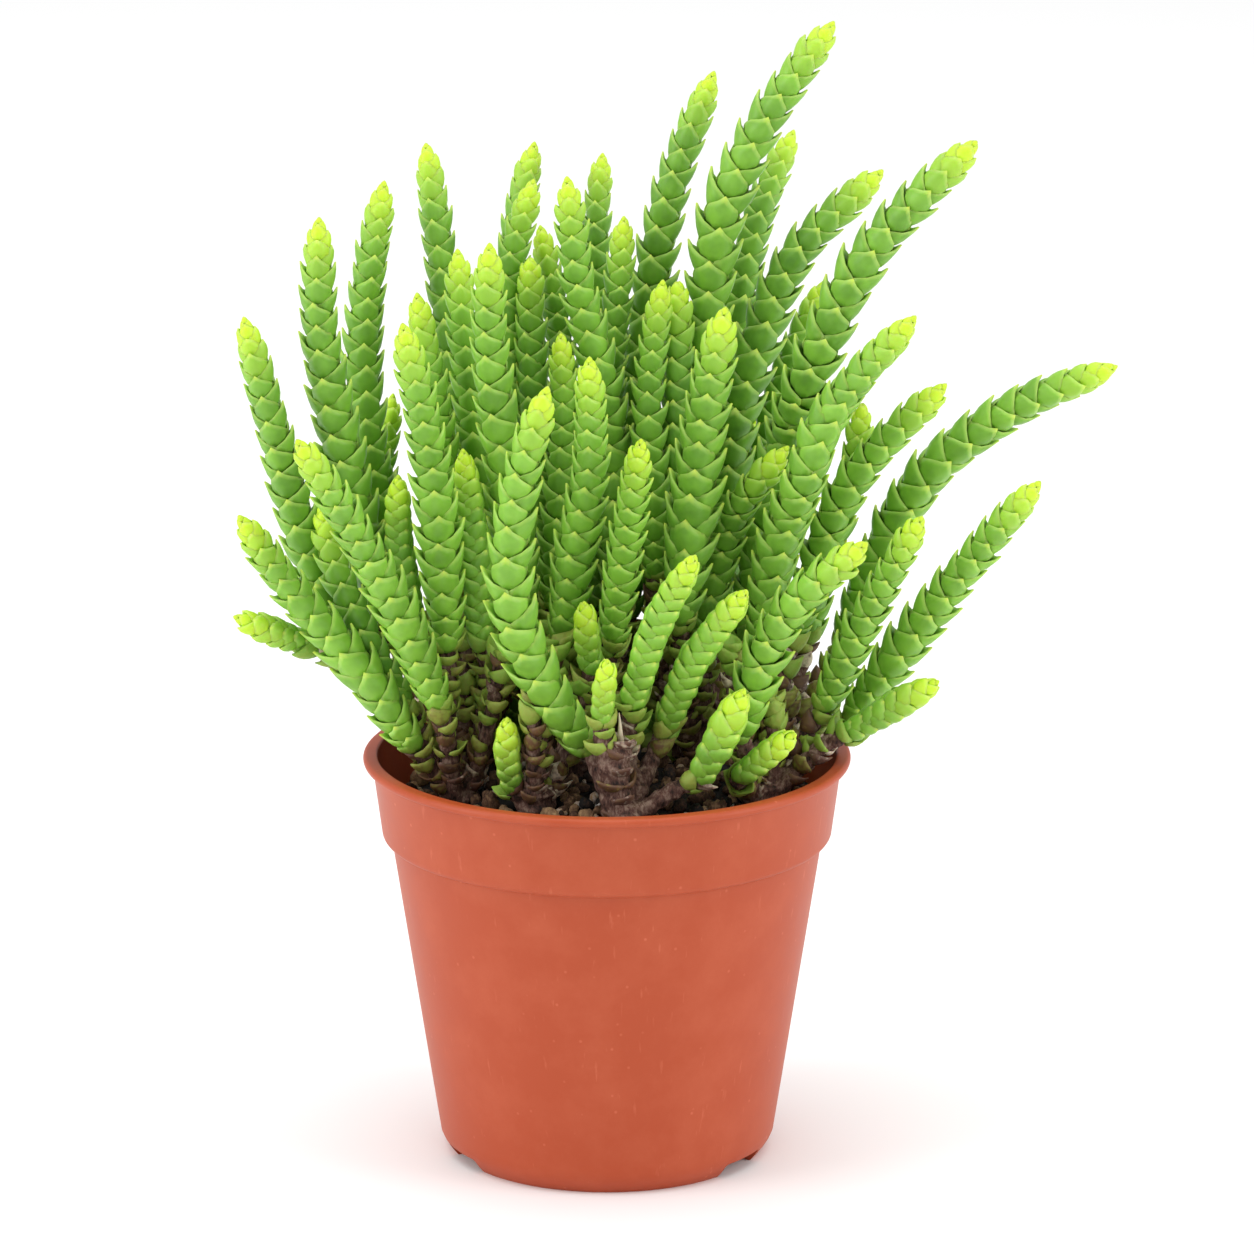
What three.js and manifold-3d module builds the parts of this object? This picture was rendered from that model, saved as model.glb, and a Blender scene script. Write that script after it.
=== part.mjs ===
// A watch chain crassula in a small nursery pot. Millimetres, +Z up, the front looks along +Y.
import * as THREE from 'three';
import { mergeVertices } from 'three/addons/utils/BufferGeometryUtils.js';
import Module from 'manifold-3d';

const wasm = await Module();
wasm.setup();

// The pot: outer radii and heights, from the rim down to the foot
const POT_HEIGHT = 76;
const LIP_RADIUS = 45;
const LIP_THICKNESS = 1.7;
const LIP_WIDTH = 2.7;
const LIP_ROUND = 0.5;
const BAND_TOP_RADIUS = 43.4;
const BAND_BOTTOM_RADIUS = 41.6;
const BAND_BOTTOM = 60.2;
const SHOULDER_ROUND = 1.3;
const BODY_TOP_RADIUS = 39.8;
const HEEL_TOP = 4.7;
const HEEL_RADIUS = 31.25;
const HEEL_ROUND = 1.7;
const FOOT_RADIUS = 29;
const FOOT_WIDTH = 1.5;
const WALL = 1.1;
const BASE_UNDERSIDE = 3.6;
const BASE_THICKNESS = 1.4;
const POT_SIDES = 32;
const SLOT_HEIGHT = 2.7;
const SLOT_HALF_ANGLE = 11;
const SLOT_ANGLES = [-63.5, 56.5, 176.5];
const DRAIN_COUNT = 5;
const DRAIN_RADIUS = 3;
const DRAIN_CIRCLE = 17;

// The space between pieces that rest on or in each other
const GAP = 0.35;

// The soil: its height at the pot's wall, how much it heaps in the middle, and its lumps
const SOIL_EDGE = 66.5;
const SOIL_HEAP = 4.5;
const HEAP_RADIUS = 36;
const SOIL_LUMPS = 0.9;
const SOIL_SIDES = 28;
const SOIL_RINGS = [5, 11, 17, 23, 29, 34.5];
const SOIL_WALL_GAP = GAP + 0.3;
const HOLE_DEPTH = 7;
const HOLE_SIDES = 10;

// The woody stems: a crown that stands in each hole, and the stalks that rise from it
const CROWN_RADIUS = 4.2;
const CROWN_TOP = 4;
const CROWN_ROUND = 2.5;
const CROWN_SIDES = 9;
const STALK_SPREAD = 2.4;
const STALK_START = 2;
const STALK_RADIUS = 1.9;
const STALK_SIDES = 5;
const STALK_RING_SPACING = 7;
const STALK_LEAD = 2.2;
const STALK_BEND = 0.3;
const BARK_RING_DEPTH = 0.3;

// Each clump of woody stems: its name and the place where its crown stands in the soil
const CLUMPS = {
  left: [-27, -6],
  left_back: [-25, 15],
  front_left: [-13, -17],
  middle: [-6, 4],
  back: [-2, 27],
  right_back: [16, 14],
  right: [28, -9],
  front: [3, -25],
};

// The cut stub: the old stem of one clump, sawn off, from which the clump's shoots fork
const STUB_CLUMP = 'front';
const STUB_TOP = 85;
const STUB_RADIUS = 2.9;
const STUB_SIDES = 8;
const STUB_LEAN = 0.8;

// The leafy shoots. A pair of leaves takes this share of the shoot's girth along the stem.
const PITCH = 0.6;
// Leaf axils and leaf edges, as shares of the shoot's radius at the leaf tips
const AXIL = 0.62;
const LEAF_EDGE = 0.86;
// How far a leaf's tip stands above its pair's ring, and its axil below, as shares of the pitch
const TIP_LIFT = 0.75;
const AXIL_DROP = 0.5;
// Shoots are slimmer at the foot and towards the tip, which is a blunt dome
const FOOT_TAPER = 0.7;
const FOOT_TAPER_LENGTH = 12;
const TOP_TAPER = 0.66;
const TOP_TAPER_LENGTH = 42;
const DOME_LENGTH = 1.1;
const APEX_RISE = 0.35;
const TIP_REACH = 1.8;
const SPIN_RANGE = 0.7;
const LEAF_COLUMNS = 8;

// How stems that would cross are bent clear, mostly to the front or the back
const PATH_STEP = 2.5;
const CLEARANCE = 0.45;
const BEND_ROUNDS = 260;
const BEND_SHARE = new THREE.Vector3(0.3, 1, 0.15);
const BEND_STRENGTH = 0.25;
const SPREAD_PASSES = 6;
const HELD_POINTS = 4;
const CLOSE_ENOUGH = 0.02;

// Leafy shoots: clump, girth, then the places of the shoot's middle from the tip down to its foot
const SHOOTS = [
  ['right_back', 8.6, [40, 18, 207], [29, 18, 191], [21, 18, 173], [18, 19, 148], [16, 20, 123],
    [15, 20, 98]],
  ['back', 8.0, [19, 32, 195], [12, 30, 176], [7, 28, 149], [5, 26, 127], [4, 25, 96]],
  ['back', 7.6, [34, 43, 182], [28, 39, 168], [24, 37, 150], [20, 35, 129], [17, 33, 98]],
  ['right_back', 8.4, [49, 22, 179], [35, 22, 165], [28, 24, 148], [23, 24, 128], [22, 24, 98]],
  ['right_back', 7.6, [40, 36, 155], [33, 33, 139], [29, 31, 122], [27, 29, 98]],
  ['right_back', 8.8, [65, -2, 189], [48, 1, 170], [38, 4, 149], [32, 7, 129], [28, 11, 110], [26, 12, 92]],
  ['right', 8.2, [54, -16, 160], [42, -11, 145], [36, -8, 133], [31, -4, 115], [28, 0, 97]],
  ['right', 8.2, [60, -5, 145], [46, 0, 129], [40, 4, 115], [37, 8, 96]],
  ['right', 8.2, [91, 4, 147], [74, 7, 139], [58, 10, 125], [50, 13, 109], [44, 16, 92]],
  ['right', 8.0, [77, -14, 129], [63, -8, 110], [50, -1, 90], [45, 2, 82]],
  ['right', 7.8, [56, -20, 124], [47, -11, 104], [40, -4, 86]],
  ['right', 8.8, [45, -34, 123], [33, -26, 110], [27, -20, 95], [25, -16, 84]],
  ['right', 6.4, [59, -16, 93], [51, -12, 87], [44, -9, 82]],
  ['front', 8.0, [24, -30, 113], [15, -22, 98], [11, -16, 86]],
  ['front', 8.0, [15, -33, 120], [9, -27, 107], [5, -20, 91]],
  ['right_back', 9.6, [21, -12, 160], [18, -7, 142], [16, -3, 124], [14, 2, 102]],
  ['right_back', 8.2, [33, 3, 132], [24, 5, 120], [19, 7, 105], [18, 9, 92]],
  ['middle', 7.8, [6, -20, 138], [4, -14, 122], [1, -6, 99]],
  ['front_left', 8.0, [-3, -16, 152], [-3, -11, 132], [-6, -7, 114], [-8, -3, 98]],
  ['front', 8.8, [-11, -32, 150], [-16, -28, 131], [-17, -26, 112], [-11, -22, 94], [-3, -20, 82]],
  ['middle', 8.4, [-21, -8, 171], [-21, -5, 153], [-19, -4, 134], [-17, -1, 115], [-17, 0, 99]],
  ['middle', 7.6, [-27, 6, 167], [-26, 6, 153], [-24, 8, 133], [-22, 8, 110]],
  ['left', 8.2, [-36, -20, 159], [-32, -16, 137], [-30, -12, 115], [-29, -8, 99]],
  ['left', 7.6, [-34, -3, 161], [-32, -2, 147], [-29, 0, 129], [-27, 2, 106]],
  ['left', 8.2, [-54, -32, 141], [-45, -26, 124], [-37, -19, 106], [-31, -14, 89]],
  ['left', 8.0, [-65, -6, 157], [-60, -4, 136], [-55, -2, 116], [-48, 0, 97]],
  ['left', 8.2, [-65, -20, 124], [-56, -15, 109], [-44, -12, 94], [-35, -8, 81]],
  ['left', 6.2, [-66, -15, 105], [-60, -13, 102], [-54, -10, 99]],
  ['left_back', 8.4, [-52, 0, 174], [-52, 1, 155], [-49, 2, 136], [-45, 4, 117], [-41, 6, 100]],
  ['left_back', 7.8, [-41, 14, 178], [-44, 13, 160], [-45, 13, 141], [-43, 12, 123], [-39, 13, 98]],
  ['left_back', 7.8, [-33, 24, 183], [-31, 21, 168], [-29, 18, 151], [-27, 16, 134], [-24, 15, 100]],
  ['back', 7.4, [-14, 41, 180], [-17, 37, 167], [-19, 34, 149], [-18, 31, 130], [-16, 29, 98]],
  ['middle', 7.4, [-14, 21, 177], [-18, 20, 162], [-18, 19, 148], [-16, 18, 131], [-13, 17, 100]],
  ['middle', 8.0, [-7, 8, 180], [-5, 9, 161], [-1, 10, 144], [2, 11, 127], [3, 12, 102]],
  ['back', 7.0, [-1, 46, 177], [-2, 42, 164], [-1, 39, 148], [1, 36, 129], [1, 34, 98]],
  ['back', 7.0, [3, 22, 170], [2, 21, 157], [0, 20, 140], [0, 20, 123], [-1, 19, 98]],
  ['back', 7.0, [-12, 28, 167], [-10, 27, 156], [-8, 27, 140], [-7, 26, 124], [-7, 26, 98]],
  ['middle', 7.0, [-8, 5, 152], [-8, 6, 135], [-9, 7, 118], [-10, 8, 102]],
  ['right_back', 7.2, [10, 8, 161], [8, 9, 146], [7, 9, 131], [8, 10, 108]],
  ['left_back', 7.0, [-40, 24, 136], [-42, 21, 122], [-41, 20, 98]],
  ['left_back', 6.6, [-38, -2, 127], [-38, 0, 115], [-36, 2, 100]],
  ['left', 7.4, [-26, -4, 133], [-25, -2, 117], [-22, -2, 98]],
  ['front_left', 6.2, [-18, -22, 87], [-18, -20, 80], [-17, -18, 74]],
  ['front', 6.0, [0, -29, 100], [-1, -26, 89]],
  ['front_left', 6.6, [-4, -15, 107], [-3, -12, 95]],
  ['front', 7.4, [24, -29, 94], [21, -27, 87], [17, -24, 78]],
  ['right', 6.4, [33, -27, 86], [29, -24, 82], [24, -21, 77]],
  ['left_back', 7.6, [-34, 36, 132], [-29, 32, 112], [-24, 27, 92]],
  ['back', 7.8, [-10, 46, 126], [-8, 42, 108], [-6, 37, 90]],
  ['right_back', 7.6, [28, 44, 128], [24, 39, 110], [19, 34, 90]],
];

function randomFrom(seed) {
  let state = seed;
  return () => {
    state = (state * 1664525 + 1013904223) % 4294967296;
    return state / 4294967296;
  };
}

function finish(name, geometry, color, roughness) {
  geometry.computeVertexNormals();
  const material = new THREE.MeshStandardMaterial({ color, roughness, metalness: 0 });
  const mesh = new THREE.Mesh(geometry, material);
  mesh.name = name;
  return mesh;
}

function indexedGeometry(positions, index) {
  const geometry = new THREE.BufferGeometry();
  geometry.setAttribute('position', new THREE.Float32BufferAttribute(positions, 3));
  geometry.setIndex(index);
  return geometry;
}

// Manifold joins and cuts take closed meshes with shared vertices
function toSolid(geometry) {
  const bare = geometry.clone();
  bare.deleteAttribute('normal');
  bare.deleteAttribute('uv');
  const merged = mergeVertices(bare, 1e-4);
  const vertProperties = new Float32Array(merged.attributes.position.array);
  const triVerts = new Uint32Array(merged.index.array);
  return new wasm.Manifold(new wasm.Mesh({ numProp: 3, vertProperties, triVerts }));
}

function toGeometry(solid) {
  const mesh = solid.getMesh();
  return indexedGeometry(Array.from(mesh.vertProperties), Array.from(mesh.triVerts));
}

function polar(radius, degrees) {
  const angle = THREE.MathUtils.degToRad(degrees);
  return [radius * Math.cos(angle), radius * Math.sin(angle)];
}

// A lathe of [radius, height] points, turned upright
function lathe(profile, sides) {
  const points = profile.map(([r, z]) => new THREE.Vector2(r, z));
  return new THREE.LatheGeometry(points, sides).rotateX(Math.PI / 2);
}

function uprightCylinder(radius, bottom, top, x, y, sides) {
  const geometry = new THREE.CylinderGeometry(radius, radius, top - bottom, sides);
  return geometry.rotateX(Math.PI / 2).translate(x, y, (bottom + top) / 2);
}

// Joins rings of points, each with the same number of sides, and closes both ends with a middle point.
// leans(ring, k) says which way the quad above side k of a ring is split.
function ringMesh(start, rings, end, leans) {
  const sides = rings[0].length;
  const positions = [start, ...rings.flat(), end].flatMap((point) => point.toArray());
  const at = (ring, k) => 1 + ring * sides + (k % sides);
  const last = rings.length - 1;
  const index = [];
  for (let k = 0; k < sides; k += 1) {
    index.push(0, at(0, k + 1), at(0, k));
    for (let ring = 0; ring < last; ring += 1) {
      const [a, b] = [at(ring, k), at(ring, k + 1)];
      const [c, d] = [at(ring + 1, k), at(ring + 1, k + 1)];
      if (leans(ring, k)) {
        index.push(a, b, d, a, d, c);
      } else {
        index.push(a, b, c, b, d, c);
      }
    }
    index.push(at(last, k), at(last, k + 1), 1 + rings.length * sides);
  }
  return indexedGeometry(positions, index);
}

// Outer radius of the pot's tapered body at a height
function bodyRadius(z) {
  return THREE.MathUtils.mapLinear(z, HEEL_TOP, BAND_BOTTOM, HEEL_RADIUS, BODY_TOP_RADIUS);
}

// Outer radius of the pot's collar band at a height
function bandRadius(z) {
  const top = POT_HEIGHT - LIP_THICKNESS;
  return THREE.MathUtils.mapLinear(z, BAND_BOTTOM, top, BAND_BOTTOM_RADIUS, BAND_TOP_RADIUS);
}

// The pot: one lathed wall with its collar band, lip, base plate and foot ring, then slots and drain holes
function makePot() {
  const lipUnder = POT_HEIGHT - LIP_THICKNESS;
  const baseTop = BASE_UNDERSIDE + BASE_THICKNESS;
  const shoulder = BAND_BOTTOM + SHOULDER_ROUND;
  const profile = [
    [0, BASE_UNDERSIDE],
    [FOOT_RADIUS - FOOT_WIDTH, BASE_UNDERSIDE],
    [FOOT_RADIUS - FOOT_WIDTH, 0],
    [FOOT_RADIUS, 0],
    [(FOOT_RADIUS + 2 * HEEL_RADIUS) / 3, HEEL_ROUND],
    [HEEL_RADIUS, HEEL_TOP],
    [BODY_TOP_RADIUS, BAND_BOTTOM - SHOULDER_ROUND / 4],
    [BAND_BOTTOM_RADIUS - SHOULDER_ROUND / 2, BAND_BOTTOM],
    [bandRadius(shoulder), shoulder],
    [BAND_TOP_RADIUS, lipUnder],
    [LIP_RADIUS - LIP_ROUND / 2, lipUnder + LIP_ROUND / 4],
    [LIP_RADIUS, POT_HEIGHT - LIP_THICKNESS / 2],
    [LIP_RADIUS - LIP_ROUND, POT_HEIGHT - LIP_ROUND / 2],
    [LIP_RADIUS - LIP_WIDTH / 2, POT_HEIGHT],
    [LIP_RADIUS - LIP_WIDTH, POT_HEIGHT - LIP_ROUND],
    [bandRadius(shoulder) - WALL, shoulder + LIP_ROUND],
    [bodyRadius(BAND_BOTTOM) - WALL, BAND_BOTTOM - WALL],
    [bodyRadius(baseTop) - WALL, baseTop],
    [0, baseTop],
  ];
  let solid = toSolid(lathe(profile, POT_SIDES));
  for (const angle of SLOT_ANGLES) {
    const corners = [
      polar(FOOT_RADIUS - 3 * FOOT_WIDTH, angle - SLOT_HALF_ANGLE - 90),
      polar(HEEL_RADIUS + 3 * FOOT_WIDTH, angle - SLOT_HALF_ANGLE - 90),
      polar(HEEL_RADIUS + 3 * FOOT_WIDTH, angle + SLOT_HALF_ANGLE - 90),
      polar(FOOT_RADIUS - 3 * FOOT_WIDTH, angle + SLOT_HALF_ANGLE - 90),
    ];
    const outline = new THREE.Shape(corners.map(([x, y]) => new THREE.Vector2(x, y)));
    const cutter = new THREE.ExtrudeGeometry(outline, { depth: 2 * SLOT_HEIGHT, bevelEnabled: false });
    solid = solid.subtract(toSolid(cutter.translate(0, 0, -SLOT_HEIGHT)));
  }
  for (let i = 0; i < DRAIN_COUNT; i += 1) {
    const [x, y] = polar(DRAIN_CIRCLE, (i * 360) / DRAIN_COUNT);
    const drill = uprightCylinder(DRAIN_RADIUS, BASE_UNDERSIDE - 1, baseTop + 1, x, y, HOLE_SIDES);
    solid = solid.subtract(toSolid(drill));
  }
  return finish('pot', toGeometry(solid), '#c4593c', 0.55);
}

// Height of the heaped soil's smooth surface at a place
function soilHeight(x, y) {
  const share = Math.min(Math.hypot(x, y) / HEAP_RADIUS, 1);
  return SOIL_EDGE + SOIL_HEAP * (1 - share ** 3);
}

// The soil: a plug that follows the pot's wall, with a lumpy heaped top and a plain hole for each clump
function makeSoil() {
  const random = randomFrom(7);
  const bottom = BASE_UNDERSIDE + BASE_THICKNESS + GAP;
  const shoulder = BAND_BOTTOM + SHOULDER_ROUND + LIP_ROUND;
  const rings = [];
  const addRing = (radius, height) => {
    const shift = (rings.length % 2) / 2;
    const ring = [];
    for (let k = 0; k < SOIL_SIDES; k += 1) {
      const lump = height === null ? (random() * 2 - 1) * SOIL_LUMPS : 0;
      const [x, y] = polar(radius + lump, ((k + shift) * 360) / SOIL_SIDES);
      const rise = height === null ? (random() * 2 - 1) * SOIL_LUMPS : 0;
      ring.push(new THREE.Vector3(x, y, (height ?? soilHeight(x, y)) + rise));
    }
    rings.push(ring);
  };
  addRing(bodyRadius(bottom) - WALL - SOIL_WALL_GAP, bottom);
  addRing(bodyRadius(BAND_BOTTOM) - WALL - SOIL_WALL_GAP, BAND_BOTTOM - WALL);
  addRing(bandRadius(BAND_BOTTOM) - WALL - SOIL_WALL_GAP, shoulder);
  addRing(bandRadius(SOIL_EDGE) - WALL - 2 * SOIL_WALL_GAP, SOIL_EDGE - GAP);
  for (const radius of SOIL_RINGS.toReversed()) {
    addRing(radius, null);
  }
  const under = new THREE.Vector3(0, 0, bottom);
  const top = new THREE.Vector3(0, 0, soilHeight(0, 0));
  let solid = toSolid(ringMesh(under, rings, top, (ring) => ring % 2));
  for (const [x, y] of Object.values(CLUMPS)) {
    const floor = soilHeight(x, y) - HOLE_DEPTH;
    const drill = uprightCylinder(CROWN_RADIUS + GAP, floor, POT_HEIGHT, x, y, HOLE_SIDES);
    solid = solid.subtract(toSolid(drill));
  }
  return finish('soil', toGeometry(solid), '#3a2a20', 0.95);
}

// Points of a smooth curve through the given places, at even steps
function evenPoints(places) {
  const curve = new THREE.CatmullRomCurve3(places, false, 'centripetal');
  return curve.getSpacedPoints(Math.max(3, Math.round(curve.getLength() / PATH_STEP)));
}

// A stem's whole path: its leafy shoot from tip to foot, then its bare stalk down to the clump's crown
function makePath([clump, girth, ...places], index) {
  const tipToFoot = places.map((place) => new THREE.Vector3(...place));
  tipToFoot[0].add(tipToFoot[0].clone().sub(tipToFoot[1]).setLength(TIP_REACH));
  const leafy = evenPoints(tipToFoot);
  const foot = leafy.at(-1);
  const [x, y] = CLUMPS[clump];
  const outward = new THREE.Vector3(foot.x - x, foot.y - y, 0).clampLength(0, STALK_SPREAD);
  const crown = new THREE.Vector3(x, y, soilHeight(x, y) + STALK_START).add(outward);
  const reach = foot.distanceTo(crown) * STALK_BEND;
  const along = foot.clone().sub(leafy.at(-2)).normalize();
  const bend = foot.clone().addScaledVector(along, reach);
  const rise = crown.clone().add(outward).add(new THREE.Vector3(0, 0, reach));
  const stalkCurve = new THREE.CubicBezierCurve3(foot, bend, rise, crown);
  const stalk = stalkCurve.getSpacedPoints(Math.max(2, Math.round(stalkCurve.getLength() / PATH_STEP)));
  const points = [...leafy, ...stalk.slice(1)];
  const footIndex = leafy.length - 1;
  const radii = points.map((point, k) => (k <= footIndex ? girth / 2 : STALK_RADIUS));
  return { index, clump, girth, points, footIndex, radii };
}

// Share of a move that a stem's point takes: none at the crown, all of it a few points further up
function freedom(stem, k) {
  return Math.min((stem.points.length - 1 - k) / HELD_POINTS, 1);
}

// Pushes the points of two stems apart where they are nearer than their radii allow
function pushApart(first, second) {
  const sameClump = first.clump === second.clump;
  const push = new THREE.Vector3();
  let worst = 0;
  for (let i = 0; i < first.points.length; i += 1) {
    for (let j = 0; j < second.points.length; j += 1) {
      const bothBare = i > first.footIndex && j > second.footIndex;
      if (sameClump && bothBare) continue;
      push.subVectors(first.points[i], second.points[j]);
      const lack = first.radii[i] + second.radii[j] + CLEARANCE - push.length();
      if (lack <= 0) continue;
      worst = Math.max(worst, lack);
      push.setLength(lack * BEND_STRENGTH).multiply(BEND_SHARE);
      first.moves[i].add(push);
      second.moves[j].sub(push);
    }
  }
  return worst;
}

// Spreads each point's move along its stem, so that the stem bends instead of kinking
function spreadMoves(stem) {
  const last = stem.points.length - 1;
  let moves = stem.moves;
  for (let pass = 0; pass < SPREAD_PASSES; pass += 1) {
    moves = moves.map((move, k) => {
      const before = moves[Math.max(k - 1, 0)];
      const after = moves[Math.min(k + 1, last)];
      return move.clone().multiplyScalar(2).add(before).add(after).multiplyScalar(1 / 4);
    });
  }
  moves.forEach((move, k) => stem.points[k].addScaledVector(move, 2 * freedom(stem, k)));
}

// Keeps a stem above the soil's lumps
function liftClear(stem) {
  stem.points.forEach((point, k) => {
    const lowest = soilHeight(point.x, point.y) + SOIL_LUMPS + stem.radii[k] + CLEARANCE;
    point.z += (Math.max(lowest - point.z, 0) * freedom(stem, k)) / 2;
  });
}

function bendClear(stems) {
  for (let round = 0; round < BEND_ROUNDS; round += 1) {
    for (const stem of stems) {
      stem.moves = stem.points.map(() => new THREE.Vector3());
    }
    let worst = 0;
    for (let i = 0; i < stems.length; i += 1) {
      for (let j = i + 1; j < stems.length; j += 1) {
        worst = Math.max(worst, pushApart(stems[i], stems[j]));
      }
    }
    if (worst < CLOSE_ENOUGH) return;
    stems.forEach(spreadMoves);
    stems.forEach(liftClear);
  }
}

// The middle and the two cross directions of a curve at a share of its length; side lies across the front
function frameAt(curve, share) {
  const middle = curve.getPointAt(share);
  const along = curve.getTangentAt(share);
  const side = new THREE.Vector3(0, 1, 0).cross(along).normalize();
  const front = new THREE.Vector3().crossVectors(along, side);
  return { middle, along, side, front };
}

function aroundPoint(frame, reach, angle, lift) {
  const point = frame.middle.clone().addScaledVector(frame.along, lift);
  point.addScaledVector(frame.side, reach * Math.cos(angle));
  return point.addScaledVector(frame.front, reach * Math.sin(angle));
}

// Share of a shoot's full radius at a distance from its foot and from its tip
function envelope(fromFoot, fromTip, radius) {
  const foot = THREE.MathUtils.lerp(FOOT_TAPER, 1, Math.min(fromFoot / FOOT_TAPER_LENGTH, 1));
  const top = THREE.MathUtils.lerp(TOP_TAPER, 1, Math.min(fromTip / TOP_TAPER_LENGTH, 1));
  const short = Math.max(1 - fromTip / (radius * DOME_LENGTH), 0);
  return foot * top * Math.sqrt(1 - short * short);
}

// A leafy shoot: rings of eight points, one ring for each pair of leaves. Two opposite points are the
// leaves' raised tips, the two across from them lie in the axils, and every next ring turns by a quarter.
function makeShoot(stem) {
  const curve = new THREE.CatmullRomCurve3(stem.points.slice(0, stem.footIndex + 1).reverse());
  const length = curve.getLength();
  const radius = stem.girth / 2;
  const pairs = Math.max(3, Math.round(length / (stem.girth * PITCH)));
  const pitch = length / (pairs + 0.4);
  const spin = (randomFrom(stem.index + 11)() - 0.5) * SPIN_RANGE;
  const rings = [];
  for (let pair = 0; pair <= pairs; pair += 1) {
    const fromFoot = pair * pitch;
    const frame = frameAt(curve, fromFoot / length);
    const reach = radius * envelope(fromFoot, length - fromFoot, radius);
    const ring = [];
    for (let k = 0; k < LEAF_COLUMNS; k += 1) {
      const kind = (k + 2 * (pair % 2)) % 4;
      let [share, lift] = [LEAF_EDGE, 0];
      if (kind === 0) [share, lift] = [1, TIP_LIFT * pitch];
      if (kind === 2) [share, lift] = [AXIL, -AXIL_DROP * pitch];
      if (pair === 0) [share, lift] = [AXIL, 0];
      const angle = spin + (k * 2 * Math.PI) / LEAF_COLUMNS;
      ring.push(aroundPoint(frame, reach * share, angle, Math.min(lift, length - fromFoot)));
    }
    rings.push(ring);
  }
  const apex = curve.getPointAt(1).addScaledVector(curve.getTangentAt(1), pitch * APEX_RISE);
  const geometry = ringMesh(curve.getPointAt(0), rings, apex, (ring, k) => k % 2);
  const number = String(stem.index + 1).padStart(2, '0');
  return finish(`leafy_shoot_${number}`, geometry, '#6fae3f', 0.5);
}

// A closed tube with few sides whose radius swells and narrows in rings, as bark with leaf scars does
function ringedTube(points, radius, sides) {
  const curve = new THREE.CatmullRomCurve3(points);
  const steps = Math.max(2, Math.round(curve.getLength() / STALK_RING_SPACING));
  const rings = [];
  for (let step = 0; step <= steps; step += 1) {
    const frame = frameAt(curve, step / steps);
    const reach = radius - (step % 2) * BARK_RING_DEPTH;
    const ring = [];
    for (let k = 0; k < sides; k += 1) {
      const angle = ((k + (step % 2) / 2) * 2 * Math.PI) / sides;
      ring.push(aroundPoint(frame, reach, angle, 0));
    }
    rings.push(ring);
  }
  return ringMesh(curve.getPointAt(0), rings, curve.getPointAt(1), (ring) => ring % 2);
}

// The cut stub: a thick ringed stem, sawn off flat
function makeStub(x, y, bottom) {
  const points = [
    new THREE.Vector3(x, y, bottom),
    new THREE.Vector3(x - STUB_LEAN, y - STUB_LEAN / 2, (bottom + 2 * STUB_TOP) / 3),
    new THREE.Vector3(x - STUB_LEAN / 2, y, STUB_TOP),
  ];
  return ringedTube(points, STUB_RADIUS, STUB_SIDES);
}

// A bare stalk from the crown up to just below its leafy shoot's foot
function makeStalk(stem) {
  const foot = stem.points[stem.footIndex];
  const along = foot.clone().sub(stem.points[stem.footIndex - 1]).normalize();
  const points = stem.points.slice(stem.footIndex + 2).reverse();
  points.push(foot.clone().addScaledVector(along, STALK_LEAD));
  points.push(foot.clone().addScaledVector(along, GAP));
  return ringedTube(points, STALK_RADIUS, STALK_SIDES);
}

// A clump of woody stems, joined: the crown in its hole, a stalk to each of its shoots, and the stub if any
function makeClump(name, stems) {
  const [x, y] = CLUMPS[name];
  const top = soilHeight(x, y) + CROWN_TOP;
  const bottom = soilHeight(x, y) - HOLE_DEPTH + GAP;
  const crown = lathe([
    [0, bottom],
    [CROWN_RADIUS - CROWN_ROUND / 2, bottom],
    [CROWN_RADIUS, bottom + CROWN_ROUND],
    [CROWN_RADIUS, top - CROWN_ROUND],
    [CROWN_RADIUS - CROWN_ROUND / 2, top],
    [0, top],
  ], CROWN_SIDES);
  let solid = toSolid(crown.translate(x, y, 0));
  for (const stem of stems) {
    solid = solid.add(toSolid(makeStalk(stem)));
  }
  if (name === STUB_CLUMP) {
    solid = solid.add(toSolid(makeStub(x, y, bottom + CROWN_ROUND)));
  }
  return finish(`woody_stems_${name}`, toGeometry(solid), '#6d4b3e', 0.9);
}

const stems = SHOOTS.map(makePath);
bendClear(stems);

const group = new THREE.Group();
group.add(makePot(), makeSoil());
for (const name of Object.keys(CLUMPS)) {
  group.add(makeClump(name, stems.filter((stem) => stem.clump === name)));
}
group.add(...stems.map(makeShoot));

// The origin lies on the ground under the middle of the whole part's outline
const middle = new THREE.Box3().setFromObject(group, true).getCenter(new THREE.Vector3());
group.position.set(-middle.x, -middle.y, 0);

export default group;
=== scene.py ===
"""A watch chain crassula in a small nursery pot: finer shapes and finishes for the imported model."""

import math
import random

import bmesh
import bpy
from bpy.props import FloatProperty, FloatVectorProperty, IntProperty, PointerProperty
from bpy.types import Operator, Panel, PropertyGroup
from mathutils import Euler, Matrix, Vector, noise
from mathutils.bvhtree import BVHTree


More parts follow.
